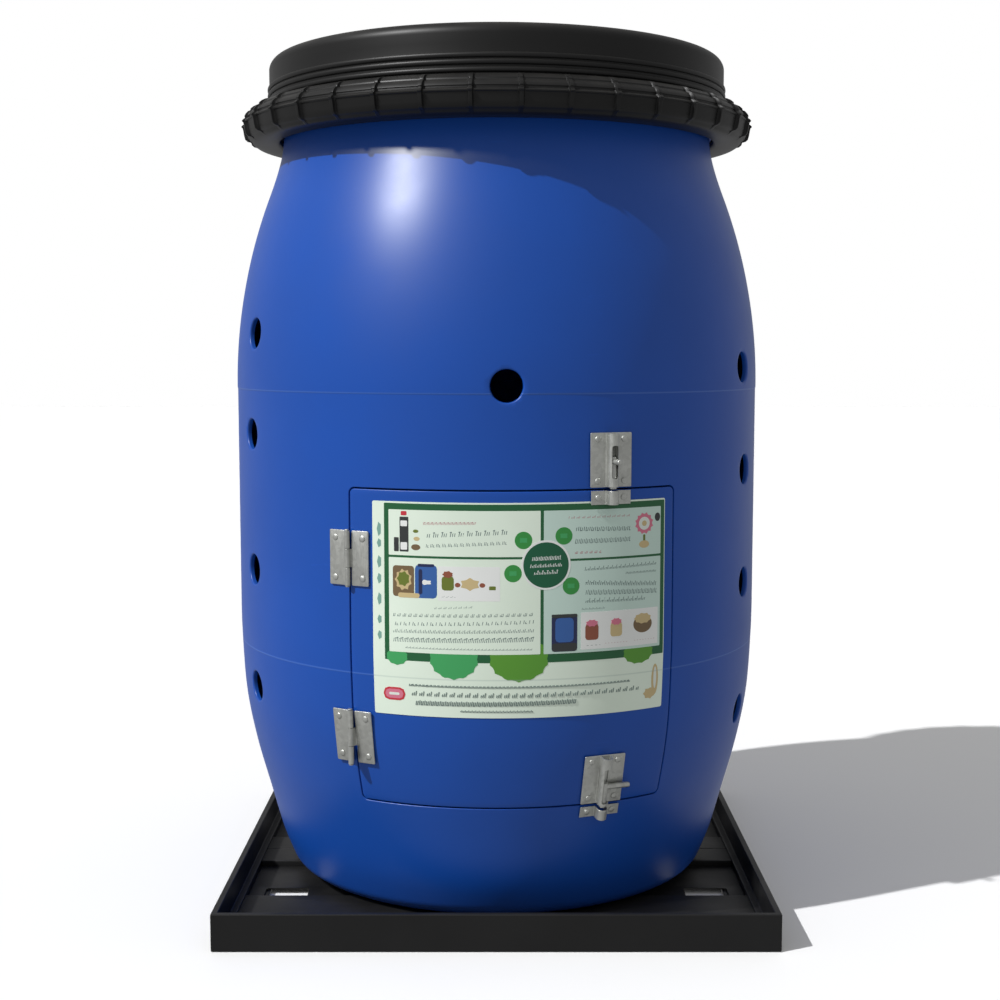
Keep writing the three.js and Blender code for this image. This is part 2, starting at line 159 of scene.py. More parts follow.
def stacked(outline, rows):
    """Rows (scale, grow, level): the outline scaled to its centre, pushed out by grow and set at level."""
    centre = outline.mean(axis=0)
    normal = outward(outline)
    layers = []
    for scale, grow, level in rows:
        flat = centre + (outline - centre) * scale + normal * grow
        layers.append(np.column_stack([flat, np.full(len(flat), float(level))]))
    return np.array(layers)


def slab(outline, low, high, edge=0.3):
    """A flat closed plate with a quarter-round top edge, as stacked outlines."""
    turn = np.radians([0, 30, 60, 90])
    rim = [(1, -edge * (1 - math.cos(a)), high - edge * (1 - math.sin(a))) for a in turn]
    return stacked(outline, [(0, 0, low), (1, 0, low), *rim, (0, 0, high)])


def bent_strip(path, thickness, low, high):
    """A closed strip of even thickness whose middle follows path in XZ, carried from low to high along Y."""
    path = np.asarray(path, float)
    step = np.gradient(path, axis=0)
    normal = np.stack([-step[:, 1], step[:, 0]], axis=1)
    normal /= np.linalg.norm(normal, axis=1, keepdims=True)
    section = np.vstack([path + normal * thickness / 2, (path - normal * thickness / 2)[::-1]])
    count = len(path)
    mirror = np.arange(2 * count)[::-1]
    middle = (section + section[mirror]) / 2
    rows = []
    for y, flat in ((low, middle), (low, section), (high, section), (high, middle)):
        rows.append(np.column_stack([flat[:, 0], np.full(len(flat), float(y)), flat[:, 1]]))
    return np.array(rows)


def along_y(points):
    """A turned grid laid down, so that its axis runs along Y."""
    return np.stack([points[..., 0], points[..., 2], -points[..., 1]], axis=-1)


def along_x(points):
    """A turned grid laid down, so that its axis runs along X."""
    return np.stack([points[..., 2], points[..., 0], points[..., 1]], axis=-1)


def bar_profile(radius, low, high, edge):
    """The profile of a round bar with quarter-round ends, starting and ending on its axis."""
    turn = np.radians(np.linspace(0, 90, 5))
    foot = [(radius - edge * (1 - math.sin(a)), low + edge * (1 - math.cos(a))) for a in turn]
    head = [(r, high - (z - low)) for r, z in foot[::-1]]
    return [(0, low), *foot, *head, (0, high)]


# ---- the drum's skin ----
def skin_outline():
    """The outer profile from the foot to the rim."""
    foot = bezier((214, 13.6), (243, 13.6), (250, 32), 12)
    belly = through(
        [(250, 32), (261.5, 62), (275, 110), (291.3, 170), (302.3, 230), (306.6, 300), (BELLY, 345)], 12)
    shoulder = arc((BELLY - 600, 590), 600, 0, math.degrees(math.asin(215 / 600)), 40)
    slope = math.tan(math.asin(215 / 600))
    turn = (250, shoulder[-1][1] + (shoulder[-1][0] - 250) / slope)
    throat = bezier(shoulder[-1], turn, (250, 872), 16)
    return np.vstack([foot, belly[1:], shoulder, throat[1:], [(250, 900)]])


OUTLINE = skin_outline()
MOULD_LINES = (585.0, 291.0)


def skin_radius(z, detail=True):
    """The radius at a height; the upper half of the mould stands out by a small step at its line."""
    z = np.asarray(z, float)
    radius = np.interp(z, OUTLINE[11:, 1], OUTLINE[11:, 0])
    if not detail:
        return radius
    settings = bpy.context.scene.compost_drum
    step = settings.mould_step / MM
    grown = radius + step * (np.clip((z - MOULD_LINES[0] + 1) / 2, 0, 1) * (z < 700))
    fade = np.clip((z - 590) / 110, 0, 1)
    return grown - step * fade * (z < 700)


def wrapped(points, detail=True):
    """Points (along, height, depth) on the skin: along is an arc at the belly radius, depth is outwards."""
    angle = points[..., 0] / BELLY
    radius = skin_radius(points[..., 1], detail) + points[..., 2]
    return np.stack([radius * np.sin(angle), -radius * np.cos(angle), points[..., 1]], axis=-1)


def skin_frame(azimuth, height, slope=None):
    """Columns right, up along the skin, out of it, and the point on the skin, as a 4 by 4 matrix."""
    angle = math.radians(azimuth)
    if slope is None:
        slope = float(skin_radius(height + 15, False) - skin_radius(height - 15, False)) / 30
    out = np.array([math.sin(angle), -math.cos(angle), 0])
    right = np.array([math.cos(angle), math.sin(angle), 0])
    up = out * slope + np.array([0, 0, 1])
    up /= np.linalg.norm(up)
    place = np.eye(4)
    place[:3, 0] = right
    place[:3, 1] = up
    place[:3, 2] = np.cross(right, up)
    place[:3, 3] = out * float(skin_radius(height, False)) + np.array([0, 0, height])
    return place


def placed(points, place):
    """Local points carried by a 4 by 4 matrix."""
    return points @ place[:3, :3].T + place[:3, 3]


# ---- meshes ----
def grid_faces(rows, columns, close_rows, start):
    """Quads of a grid whose columns close on themselves, and whose rows may close too."""
    r = np.arange(rows if close_rows else rows - 1)[:, None]
    c = np.arange(columns)[None, :]
    below = (r + 1) % rows
    after = (c + 1) % columns
    return (start + np.stack([r * columns + c, r * columns + after, below * columns + after,
                              below * columns + c], axis=-1)).reshape(-1, 4)


def make_mesh(name, patches, smooth=35):
    """Grids in millimetres as one mesh in metres, with doubles merged and faces turned out."""
    points, faces, start = [], [], 0
    for patch in patches:
        grid, close_rows = patch if isinstance(patch, tuple) else (patch, False)
        rows, columns = grid.shape[:2]
        points.append(grid.reshape(-1, 3) * MM)
        faces.append(grid_faces(rows, columns, close_rows, start))
        start += rows * columns
    mesh = bpy.data.meshes.new(name)
    mesh.from_pydata(np.vstack(points), [], np.vstack(faces))
    work = bmesh.new()
    work.from_mesh(mesh)
    bmesh.ops.remove_doubles(work, verts=work.verts, dist=1e-6)
    bmesh.ops.dissolve_degenerate(work, edges=work.edges, dist=1e-7)
    bmesh.ops.recalc_face_normals(work, faces=work.faces)
    work.to_mesh(mesh)
    work.free()
    finish_shading(mesh, smooth)
    return mesh


def finish_shading(mesh, smooth):
    """Smooth faces, with the edges over the angle kept sharp."""
    mesh.polygons.foreach_set("use_smooth", np.ones(len(mesh.polygons), bool))
    mesh.set_sharp_from_angle(angle=math.radians(smooth))


def add_piece(name, mesh, material, body, nodes=(), bevel=0.0):
    """An object of the mesh that rides on a body, with its finish and the frame nodes that it stands for."""
    piece = bpy.data.objects.new(name, mesh)
    bpy.context.scene.collection.objects.link(piece)
    mesh.materials.append(material)
    if bevel:
        rounding = piece.modifiers.new("rounded edges", "BEVEL")
        rounding.width = bevel * MM
        rounding.segments = 3
        rounding.limit_method = "ANGLE"
        rounding.angle_limit = math.radians(40)
        rounding.use_clamp_overlap = True
        rounding.harden_normals = True
    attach(piece, body)
    if nodes:
        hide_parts(*nodes)
    return piece


def cut_away(mesh, cutters):
    """The mesh less each cutter, by exact booleans."""
    work = bpy.data.objects.new("work", mesh)
    bpy.context.scene.collection.objects.link(work)
    tools = []
    for cutter in cutters:
        tool = bpy.data.objects.new("cutter", cutter)
        bpy.context.scene.collection.objects.link(tool)
        modifier = work.modifiers.new("cut", "BOOLEAN")
        modifier.operation = "DIFFERENCE"
        modifier.solver = "EXACT"
        modifier.object = tool
        tools.append(tool)
    bpy.context.view_layer.update()
    done = bpy.data.meshes.new_from_object(work.evaluated_get(bpy.context.evaluated_depsgraph_get()))
    for thing in (work, *tools):
        bpy.data.objects.remove(thing)
    finish_shading(done, 30)
    return done


def panel_outline(left, right, bottom, top, corner, grow=0.0, edge_steps=30):
    """A rounded rectangle on the unrolled skin, from azimuths in degrees and heights."""
    x0 = math.radians(left) * BELLY - grow
    x1 = math.radians(right) * BELLY + grow
    z0, z1 = bottom - grow, top + grow
    outline = rounded(x1 - x0, z1 - z0, corner + grow, 8, edge_steps)
    return outline + np.array([(x0 + x1) / 2, (z0 + z1) / 2])


# ---- node helpers ----
class Shader:
    """A node tree with short ways to add and link nodes."""

    def __init__(self, tree):
        self.tree = tree

    def add(self, kind, **settings):
        node = self.tree.nodes.new(kind)
        for key, value in settings.items():
            setattr(node, key, value)
        return node

    def link(self, source, target):
        self.tree.links.new(source, target)

    def feed(self, node, **inputs):
        for key, value in inputs.items():
            numbered = key[0] == "n" and key[1:].isdigit()
            socket = node.inputs[int(key[1:]) if numbered else key.replace("_", " ")]
            if hasattr(value, "is_output"):
                self.link(value, socket)
            else:
                socket.default_value = value
        return node

    def noise(self, vector, scale, detail=4.0, rough=0.5):
        node = self.feed(self.add("ShaderNodeTexNoise"), Scale=scale, Detail=detail, Roughness=rough)
        self.link(vector, node.inputs["Vector"])
        return node.outputs["Fac"]

    def stretched(self, vector, scale):
        node = self.add("ShaderNodeMapping")
        self.link(vector, node.inputs["Vector"])
        node.inputs["Scale"].default_value = scale
        return node.outputs["Vector"]

    def remap(self, value, low, high, out_low=0.0, out_high=1.0):
        node = self.add("ShaderNodeMapRange")
        self.feed(node, Value=value)
        node.inputs["From Min"].default_value = low
        node.inputs["From Max"].default_value = high
        node.inputs["To Min"].default_value = out_low
        node.inputs["To Max"].default_value = out_high
        return node.outputs["Result"]

    def math(self, operation, a, b=0.0):
        return self.feed(self.add("ShaderNodeMath", operation=operation), n0=a, n1=b).outputs[0]

    def mix(self, factor, a, b):
        node = self.add("ShaderNodeMix", data_type="RGBA")
        self.feed(node, n0=factor, n6=a, n7=b)
        return node.outputs[2]


def new_group(name, inputs, outputs):
    """An empty node group with float inputs (name, default) and named outputs."""
    tree = bpy.data.node_groups.new(name, "ShaderNodeTree")
    for label, default in inputs:
        socket = tree.interface.new_socket(label, in_out="INPUT", socket_type="NodeSocketFloat")
        socket.default_value = default
    for label in outputs:
        tree.interface.new_socket(label, in_out="OUTPUT", socket_type="NodeSocketFloat")
    shader = Shader(tree)
    return tree, shader, shader.add("NodeGroupInput"), shader.add("NodeGroupOutput")


def handling_group():
    """Handling marks: cloudy mottle, thin scuffs along a slanted direction, and a fine moulded grain."""
    tree, s, source, out = new_group(
        "handling_marks", [("Mottle Size", 6.0), ("Scuff Size", 30.0), ("Grain Size", 900.0)],
        ["Mottle", "Scuffs", "Grain"])
    place = s.add("ShaderNodeTexCoord").outputs["Object"]
    mottle = s.noise(place, 6.0, 5.0, 0.55)
    s.link(source.outputs["Mottle Size"], mottle.node.inputs["Scale"])
    s.link(s.remap(mottle, 0.3, 0.7), out.inputs["Mottle"])
    streak = s.noise(s.stretched(place, (1.0, 1.0, 9.0)), 30.0, 6.0, 0.7)
    s.link(source.outputs["Scuff Size"], streak.node.inputs["Scale"])
    patch = s.noise(place, 9.0, 2.0)
    thin = s.remap(streak, 0.62, 0.72)
    s.link(s.math("MULTIPLY", thin, s.remap(patch, 0.5, 0.7)), out.inputs["Scuffs"])
    grain = s.noise(place, 900.0, 2.0, 0.6)
    s.link(source.outputs["Grain Size"], grain.node.inputs["Scale"])
    s.link(grain, out.inputs["Grain"])
    return tree


def dust_group():
    """Dust that lies on faces that look up, broken up by a cloud."""
    tree, s, source, out = new_group("settled_dust", [("Amount", 0.3)], ["Dust"])
    geometry = s.add("ShaderNodeNewGeometry")
    facing = s.add("ShaderNodeSeparateXYZ")
    s.link(geometry.outputs["Normal"], facing.inputs[0])
    cloud = s.noise(s.add("ShaderNodeTexCoord").outputs["Object"], 14.0, 6.0, 0.6)
    lying = s.math("MULTIPLY", s.remap(facing.outputs["Z"], 0.35, 1.0), s.remap(cloud, 0.35, 0.7))
    s.link(s.math("MULTIPLY", lying, source.outputs["Amount"]), out.inputs["Dust"])
    return tree


def spangle_group():
    """Zinc plating: crystal cells of slightly different grey, and fine drawn lines."""
    tree, s, source, out = new_group("zinc_spangle", [("Cell Size", 260.0)], ["Cells", "Lines"])
    place = s.add("ShaderNodeTexCoord").outputs["Object"]
    cells = s.feed(s.add("ShaderNodeTexVoronoi"), Scale=260.0)
    s.link(place, cells.inputs["Vector"])
    s.link(source.outputs["Cell Size"], cells.inputs["Scale"])
    grey = s.add("ShaderNodeSeparateColor")
    s.link(cells.outputs["Color"], grey.inputs[0])
    s.link(grey.outputs[0], out.inputs["Cells"])
    s.link(s.noise(s.stretched(place, (60.0, 60.0, 3.0)), 22.0, 3.0, 0.7), out.inputs["Lines"])
    return tree


def seam_and_painted_light_group():
    """Two fine level lines where the halves of the mould met, at the heights of the mould lines; the plastic
    uses them for relief and a painted highlight, the sticker for a painted shade.
    """
    tree, s, source, out = new_group("mould_seams_and_painted_light", [("Width", 0.0012)], ["Line"])
    place = s.add("ShaderNodeSeparateXYZ")
    s.link(s.add("ShaderNodeTexCoord").outputs["Object"], place.inputs[0])
    masks = []
    for line in MOULD_LINES:
        away = s.math("ABSOLUTE", s.math("SUBTRACT", place.outputs["Z"], line * MM))
        masks.append(s.math("SUBTRACT", 1.0, s.math("DIVIDE", away, source.outputs["Width"])))
    s.link(s.math("MAXIMUM", s.math("MAXIMUM", *masks), 0.0), out.inputs["Line"])
    return tree


def new_material(name):
    material = bpy.data.materials.new(name)
    material.use_nodes = True
    shader = Shader(material.node_tree)
    return material, shader, material.node_tree.nodes["Principled BSDF"]


def use_group(shader, name, **values):
    """The outputs of a shared node group, with its named inputs set."""
    node = shader.add("ShaderNodeGroup", node_tree=bpy.data.node_groups[name])
    for key, value in values.items():
        node.inputs[key.replace("_", " ")].default_value = value
    return node.outputs


def bumped(shader, body, height, distance, strength=0.5):
    """Feeds a height in metres of relief to the shader's normal."""
    bump = shader.feed(shader.add("ShaderNodeBump"), Strength=strength, Distance=distance)
    shader.link(height, bump.inputs["Height"])
    shader.link(bump.outputs["Normal"], body.inputs["Normal"])


def shade(color, factor):
    return tuple(min(1.0, c * factor) for c in color[:3]) + (1.0,)


def moulded_plastic(name, color, roughness, mottle, grain, dust, gloss):
    """Moulded plastic: a faint cloud, scuffs, a fine grain, mould lines in relief with a painted highlight
    along them, and a little dust.
    """
    material, s, body = new_material(name)
    marks = use_group(s, "handling_marks", Grain_Size=grain)
    powder = use_group(s, "settled_dust", Amount=dust)
    tone = s.mix(s.math("MULTIPLY", marks["Mottle"], mottle), shade(color, 1.0), shade(color, 0.72))
    worn = s.mix(s.math("MULTIPLY", marks["Scuffs"], 0.22), tone, shade(color, 1.9))
    seam_line_and_painted_light = use_group(s, "mould_seams_and_painted_light")
    # painted highlight: along the mould lines the colour is mixed towards a paler blue, standing in for the
    # light caught by the moulded ledge
    worn = s.mix(s.math("MULTIPLY", seam_line_and_painted_light["Line"], 0.45), worn, (0.09, 0.20, 0.56, 1.0))
    s.link(s.mix(powder["Dust"], worn, (0.32, 0.30, 0.27, 1.0)), body.inputs["Base Color"])
    rough = s.math("ADD", s.remap(marks["Mottle"], 0, 1, roughness - 0.03, roughness + 0.05),
                   s.math("MULTIPLY", marks["Scuffs"], 0.12))
    s.link(s.math("ADD", rough, s.math("MULTIPLY", powder["Dust"], 0.5)), body.inputs["Roughness"])
    body.inputs["Specular IOR Level"].default_value = gloss
    relief = s.math("ADD", s.math("MULTIPLY", marks["Grain"], 0.05), seam_line_and_painted_light["Line"])
    bumped(s, body, relief, 0.0004, 0.4)
    return material


def powder_coat(name, color):
    """Powder-coated steel: an orange-peel surface, worn paler along the scuffs."""
    material, s, body = new_material(name)
    marks = use_group(s, "handling_marks", Mottle_Size=11.0, Scuff_Size=40.0, Grain_Size=420.0)
    powder = use_group(s, "settled_dust", Amount=0.04)
    tone = s.mix(s.math("MULTIPLY", marks["Mottle"], 0.5), shade(color, 1.0), shade(color, 1.35))
    worn = s.mix(s.math("MULTIPLY", marks["Scuffs"], 0.25), tone, shade(color, 4.0))
    s.link(s.mix(powder["Dust"], worn, (0.25, 0.24, 0.22, 1.0)), body.inputs["Base Color"])
    s.link(s.remap(marks["Mottle"], 0, 1, 0.42, 0.56), body.inputs["Roughness"])
    body.inputs["Specular IOR Level"].default_value = 0.3
    bumped(s, body, marks["Grain"], 0.00008, 0.5)
    return material


def zinc_plate(name, color):
    """Zinc-plated steel: spangled greys, drawn lines and duller worn spots."""
    material, s, body = new_material(name)
    zinc = use_group(s, "zinc_spangle")
    marks = use_group(s, "handling_marks", Mottle_Size=45.0, Scuff_Size=90.0)
    tone = s.mix(s.math("MULTIPLY", zinc["Cells"], 0.6), shade(color, 0.82), shade(color, 1.12))
    dulled = s.mix(s.math("MULTIPLY", marks["Mottle"], 0.35), tone, shade(color, 0.6))
    s.link(dulled, body.inputs["Base Color"])
    s.link(s.remap(zinc["Lines"], 0.3, 0.7, 0.34, 0.52), body.inputs["Roughness"])
    s.link(s.remap(marks["Mottle"], 0, 1, 0.95, 0.72), body.inputs["Metallic"])
    bumped(s, body, zinc["Lines"], 0.00003, 0.5)
    return material


def rubber_skin(name, color):
    material, s, body = new_material(name)
    marks = use_group(s, "handling_marks", Mottle_Size=20.0, Grain_Size=700.0)
    s.link(s.mix(marks["Mottle"], shade(color, 0.8), shade(color, 1.4)), body.inputs["Base Color"])
    s.link(s.remap(marks["Mottle"], 0, 1, 0.75, 0.9), body.inputs["Roughness"])
    bumped(s, body, marks["Grain"], 0.00004, 0.5)
    return material


def printed_vinyl(name, roughness):
    """Printed vinyl: the ink is a colour held on each point, on a slightly wavy, faintly clouded surface,
    with a painted shade line along the lower mould line.
    """
    material, s, body = new_material(name)
    ink = s.add("ShaderNodeAttribute", attribute_name="ink").outputs["Color"]
    marks = use_group(s, "handling_marks", Mottle_Size=16.0, Grain_Size=260.0)
    faded = s.add("ShaderNodeMix", data_type="RGBA", blend_type="MULTIPLY")
    s.feed(faded, n0=s.math("MULTIPLY", marks["Mottle"], 0.5), n6=ink, n7=(0.9, 0.92, 0.9, 1.0))
    seam_line_and_painted_light = use_group(s, "mould_seams_and_painted_light")
    # painted shade: the print is darkened to a grey green along the mould lines, standing in for shade where
    # the sticker lies over the lower one
    crease_painted_shade = s.mix(s.math("MULTIPLY", seam_line_and_painted_light["Line"], 0.35), faded.outputs[2], (0.30, 0.40, 0.38, 1.0))
    s.link(crease_painted_shade, body.inputs["Base Color"])
    s.link(s.remap(marks["Mottle"], 0, 1, roughness, roughness + 0.1), body.inputs["Roughness"])
    bumped(s, body, marks["Mottle"], 0.0001, 0.3)
    return material


# ---- the printed label ----
INK_STRENGTH = 0.92


def srgb(red, green, blue):
    """A colour in 0 to 255 as it looks under the key light, as a linear reflectance."""
    return tuple(INK_STRENGTH * ((c / 255 + 0.055) / 1.055) ** 2.4 for c in (red, green, blue)) + (1.0,)


# the mint of the right-hand panels is a darker, greyer copy of the mint ink: painted shade of the side of the
# sticker turned away from the key light
INKS = {
    "mint": srgb(238, 252, 236), "mint_painted_shade": srgb(208, 232, 222), "pale": srgb(232, 240, 232),
    "frame": srgb(24, 96, 54), "badge": srgb(8, 92, 60), "white": srgb(244, 246, 244),
    "text": srgb(104, 124, 122), "title": srgb(186, 118, 126), "disc": srgb(52, 150, 66),
    "leaf": srgb(66, 170, 98), "olive": srgb(92, 158, 48), "red": srgb(206, 52, 66),
    "blue": srgb(52, 100, 172), "navy": srgb(28, 40, 84), "brown": srgb(122, 100, 70),
    "sand": srgb(212, 190, 140), "clay": srgb(150, 84, 62), "moss": srgb(110, 124, 44),
    "pink": srgb(222, 124, 148), "dark": srgb(52, 56, 56), "teal": srgb(128, 172, 160),
}
LABEL = {"left": -24.6, "right": 35.2, "bottom": 251.0, "top": 474.5, "corner": 2.0}
ART_FIELD = {"left": -130.0, "right": 199.0, "bottom": 247.0, "top": 477.0}
LABEL_TOP = 0.62
LAYER = 0.07


def fitted(outline):
    """Points of the artwork's own field, stretched to the label's edges on the unrolled skin."""
    x0, x1 = (math.radians(LABEL[side]) * BELLY for side in ("left", "right"))
    across = (outline[:, 0] - ART_FIELD["left"]) / (ART_FIELD["right"] - ART_FIELD["left"])
    rise = (outline[:, 1] - ART_FIELD["bottom"]) / (ART_FIELD["top"] - ART_FIELD["bottom"])
    height = LABEL["bottom"] + (LABEL["top"] - LABEL["bottom"]) * rise
    return np.stack([x0 + (x1 - x0) * across, height], axis=1)


def oval(x, z, half_width, half_height, lobes=0, depth=0.08, count=48):
    """An ellipse, or with lobes a leaf edge whose radius dips at equal angles."""
    angle = np.linspace(0, 2 * np.pi, count, endpoint=False)
    reach = 1 - depth * np.abs(np.cos(lobes * angle / 2)) if lobes else np.ones(count)
    return np.stack([x + half_width * reach * np.cos(angle), z + half_height * reach * np.sin(angle)], axis=1)


def panel(x0, x1, z0, z1, corner=0.8):
    """A rectangle with small round corners between two arcs and two heights."""
    steps = 1 + int(max(x1 - x0, z1 - z0) / 5)
    corner = min(corner, (x1 - x0) / 2.1, (z1 - z0) / 2.1)
    outline = rounded(x1 - x0, z1 - z0, corner, 3, steps)
    return outline + np.array([(x0 + x1) / 2, (z0 + z1) / 2])


def stroke(x, z, width, tall, lean=0.0):
    """A four-sided bar that stands at (x, z) and leans to the right."""
    return np.array([(x, z), (x + width, z), (x + width + lean, z + tall), (x + lean, z + tall)], float)


def print_line(x0, x1, z, height, ink, seed, slant=0.0):
    """Short leaning bars of uneven height, as a stand-in for a line of print; no bar is a letter."""
    width = 0.28 + 0.09 * height
    pitch = 0.75 + 0.22 * height
    marks = []
    x = x0
    turn = seed + 2
    while x < x1 - width:
        turn = (turn * 13 + 7) % 61
        tall = height * (0.45 + 0.13 * (turn % 5))
        foot = z - height / 2 + slant * (x - (x0 + x1) / 2)
        marks.append((stroke(x, foot, width, tall, 0.2 * tall), ink, 4))
        if turn % 3 == 0:
            level = foot + tall * (turn % 2) * 0.8
            marks.append((stroke(x, level, pitch, 0.2 + 0.08 * height), ink, 5))
        x += pitch * (2.1 if turn % 7 == 0 else 1)
    return marks


def label_art():
    """Every printed shape as (outline, ink, layer), from the leaves and the frame up to the small marks."""
    art = [
        (oval(-102, 311, 12.5, 9.5, 10), "leaf", 3), (oval(-39.5, 311, 27, 23, 14), "leaf", 3),
        (oval(29.5, 311, 32.5, 25, 14), "olive", 3), (oval(165, 311, 19.5, 12.5, 12), "olive", 3),
        (panel(-116, 198, 307, 475.2), "frame", 2), (panel(-110.6, 52, 420, 468.5), "mint", 4),
        # the two right-hand panels take the darker copy of the mint ink, which is painted shade
        (panel(-110.6, 52, 316, 417.5), "mint", 4), (panel(55.5, 193, 417, 468.5), "mint_painted_shade", 4),
        (panel(55.5, 193, 316, 414.5), "mint_painted_shade", 4), (panel(-98, -88, 424, 461), "dark", 5),
        (panel(-97, -89.5, 451, 457), "white", 6), (panel(-97, -89.5, 426, 434), "white", 6),
        (panel(-96.5, -90, 462.5, 467), "red", 5), (panel(-104.5, -99, 424, 439), "dark", 5),
        (oval(-80, 429, 5, 3.2), "brown", 5), (oval(-79, 438, 3.4, 2.2), "sand", 5),
        (oval(-80, 446, 3, 1.8), "moss", 5), (panel(-106, -82, 376, 409, 3), "brown", 5),
        (oval(-94, 394, 10, 12, 9, 0.2), "sand", 6), (oval(-94, 395, 7.5, 8.5, 7, 0.2), "moss", 7),
        (panel(-100, -76, 375, 380, 2), "sand", 7), (panel(-81, -57, 375, 410.5, 4), "blue", 5),
        (panel(-78, -60, 408.5, 411.5, 1), "navy", 6), (oval(-69, 392, 7, 3, 5, 0.3), "white", 6),
        (panel(-77, -73, 379, 406, 2), "navy", 6), (panel(-56, 9.5, 373, 409.5), "white", 5),
        (panel(-52, -39, 384, 399, 3), "moss", 6), (oval(-45.5, 401, 6, 4, 7, 0.2), "clay", 7),
        (oval(-22, 391, 11, 7, 6, 0.25), "sand", 6), (oval(-35, 390, 3, 2.4), "clay", 6),
        (oval(-9, 390, 3, 2.4), "clay", 6), (panel(-2, 5, 385, 389), "moss", 6),
        (panel(64, 92, 318, 357, 3), "navy", 5), (panel(68, 88, 328, 354, 4), "blue", 6),
        (panel(64.5, 91.5, 318.5, 327, 2), "dark", 6), (panel(64, 92, 354.5, 358, 1), "dark", 7),
        (panel(96, 190, 319, 359), "white", 5), (panel(101, 116, 329, 346, 3), "clay", 6),
        (oval(108.5, 347, 7.5, 4, 8, 0.2), "pink", 7), (panel(130, 144, 331, 346, 3), "sand", 6),
        (oval(137, 347, 7, 4, 8, 0.2), "pink", 7), (oval(170, 342, 12, 9.5), "brown", 6),
        (oval(170, 348, 11.5, 6, 9, 0.15), "sand", 7), (oval(171, 451, 12, 12, 12, 0.16), "pink", 5),
        (oval(171, 451, 7, 7), "pale", 6), (oval(171, 451, 3, 3), "sand", 7),
        (panel(169.6, 172.4, 431, 439), "moss", 5), (oval(171, 428.5, 6.5, 4), "sand", 6),
        (oval(188.5, 457, 3.6, 4.6), "dark", 5), (oval(58, 411, 26.4, 26.4, count=64), "white", 6),
        (oval(58, 411, 24.2, 24.2, count=64), "badge", 7), (panel(-118.5, -93.5, 263, 277, 6), "red", 3),
        (panel(-116.5, -95.5, 265, 275, 5), "pink", 4), (panel(-112, -100, 268.6, 271.4, 1.2), "pale", 5),
        (oval(188, 279, 4.5, 17), "sand", 3), (oval(181, 264, 8, 6.5, 7, 0.2), "sand", 4),
        (oval(188, 281, 2, 12), "pale", 4),
    ]
    for x, z in ((34, 437.5), (77, 441.5), (23, 402.5), (85, 388)):
        art.append((oval(x, z, 9.2, 9.2), "disc", 5))
        art.append((oval(x, z, 5.2, 3.4, 4, 0.3), "leaf", 6))
    for z, tall in ((447, 8), (432, 5), (412, 7), (394, 6), (372, 7), (350, 5), (333, 5)):
        art.append((oval(-122, z, 2.6, tall, 5, 0.2), "teal", 2))
    for z, half in ((418.5, 15), (411, 17), (403.5, 13)):
        title = print_line(58 - half, 58 + half, z, 4.4, "white", int(z), 0.03)
        art += [(outline, ink, 8) for outline, ink, _ in title]
    lines = (
        (-72, -16, 455, 3.0, "title", 0.02), (-68, 18, 445, 6.6, "text", 0.05),
        (-69, 18, 433, 3.6, "text", 0.05), (-60, -18, 366, 2.6, "text", 0.05),
        (-106, 46, 357.5, 3.4, "text", 0.02), (-104, 46, 349.5, 5.2, "text", 0.03),
        (-106, 46, 340.5, 4.6, "text", 0.02), (-106, 44, 331, 5.4, "text", 0.02),
        (-92, 44, 321.5, 2.2, "text", 0.0), (82, 154, 461, 3.0, "title", 0.0),
        (90, 154, 448.5, 6.2, "text", -0.03), (89, 154, 435.5, 5.2, "text", 0.0),
        (89, 119, 423.5, 2.6, "title", 0.0), (100, 188, 406.5, 4.4, "text", 0.02),
        (148, 188, 399, 3.0, "text", 0.0), (101, 188, 388.5, 6.0, "text", -0.07),
        (101, 188, 379, 5.4, "text", -0.04), (101, 173, 371, 5.2, "text", -0.02),
        (97, 123, 363, 2.6, "text", 0.0), (-52, -38, 377.5, 1.6, "text", 0.0),
        (-28, -14, 377.5, 1.6, "text", 0.0), (-10, 6, 377.5, 1.6, "text", 0.0),
        (100, 118, 324, 2.0, "text", 0.0), (124, 152, 324, 2.0, "title", 0.0),
        (158, 186, 324, 2.0, "title", 0.0), (-89, 155, 281, 2.8, "text", 0.0),
        (-86, 168, 272.5, 5.8, "text", 0.0), (-82, 92, 262.8, 5.2, "text", 0.01),
        (-33, 45, 254.5, 2.2, "text", 0.0),
    )
    for number, (x0, x1, z, height, ink, slant) in enumerate(lines):
        layer = 2 if z < 300 else 0
        bars = print_line(x0, x1, z, height, ink, number, slant)
        art += [(outline, ink, level + layer) for outline, ink, level in bars]
    return art


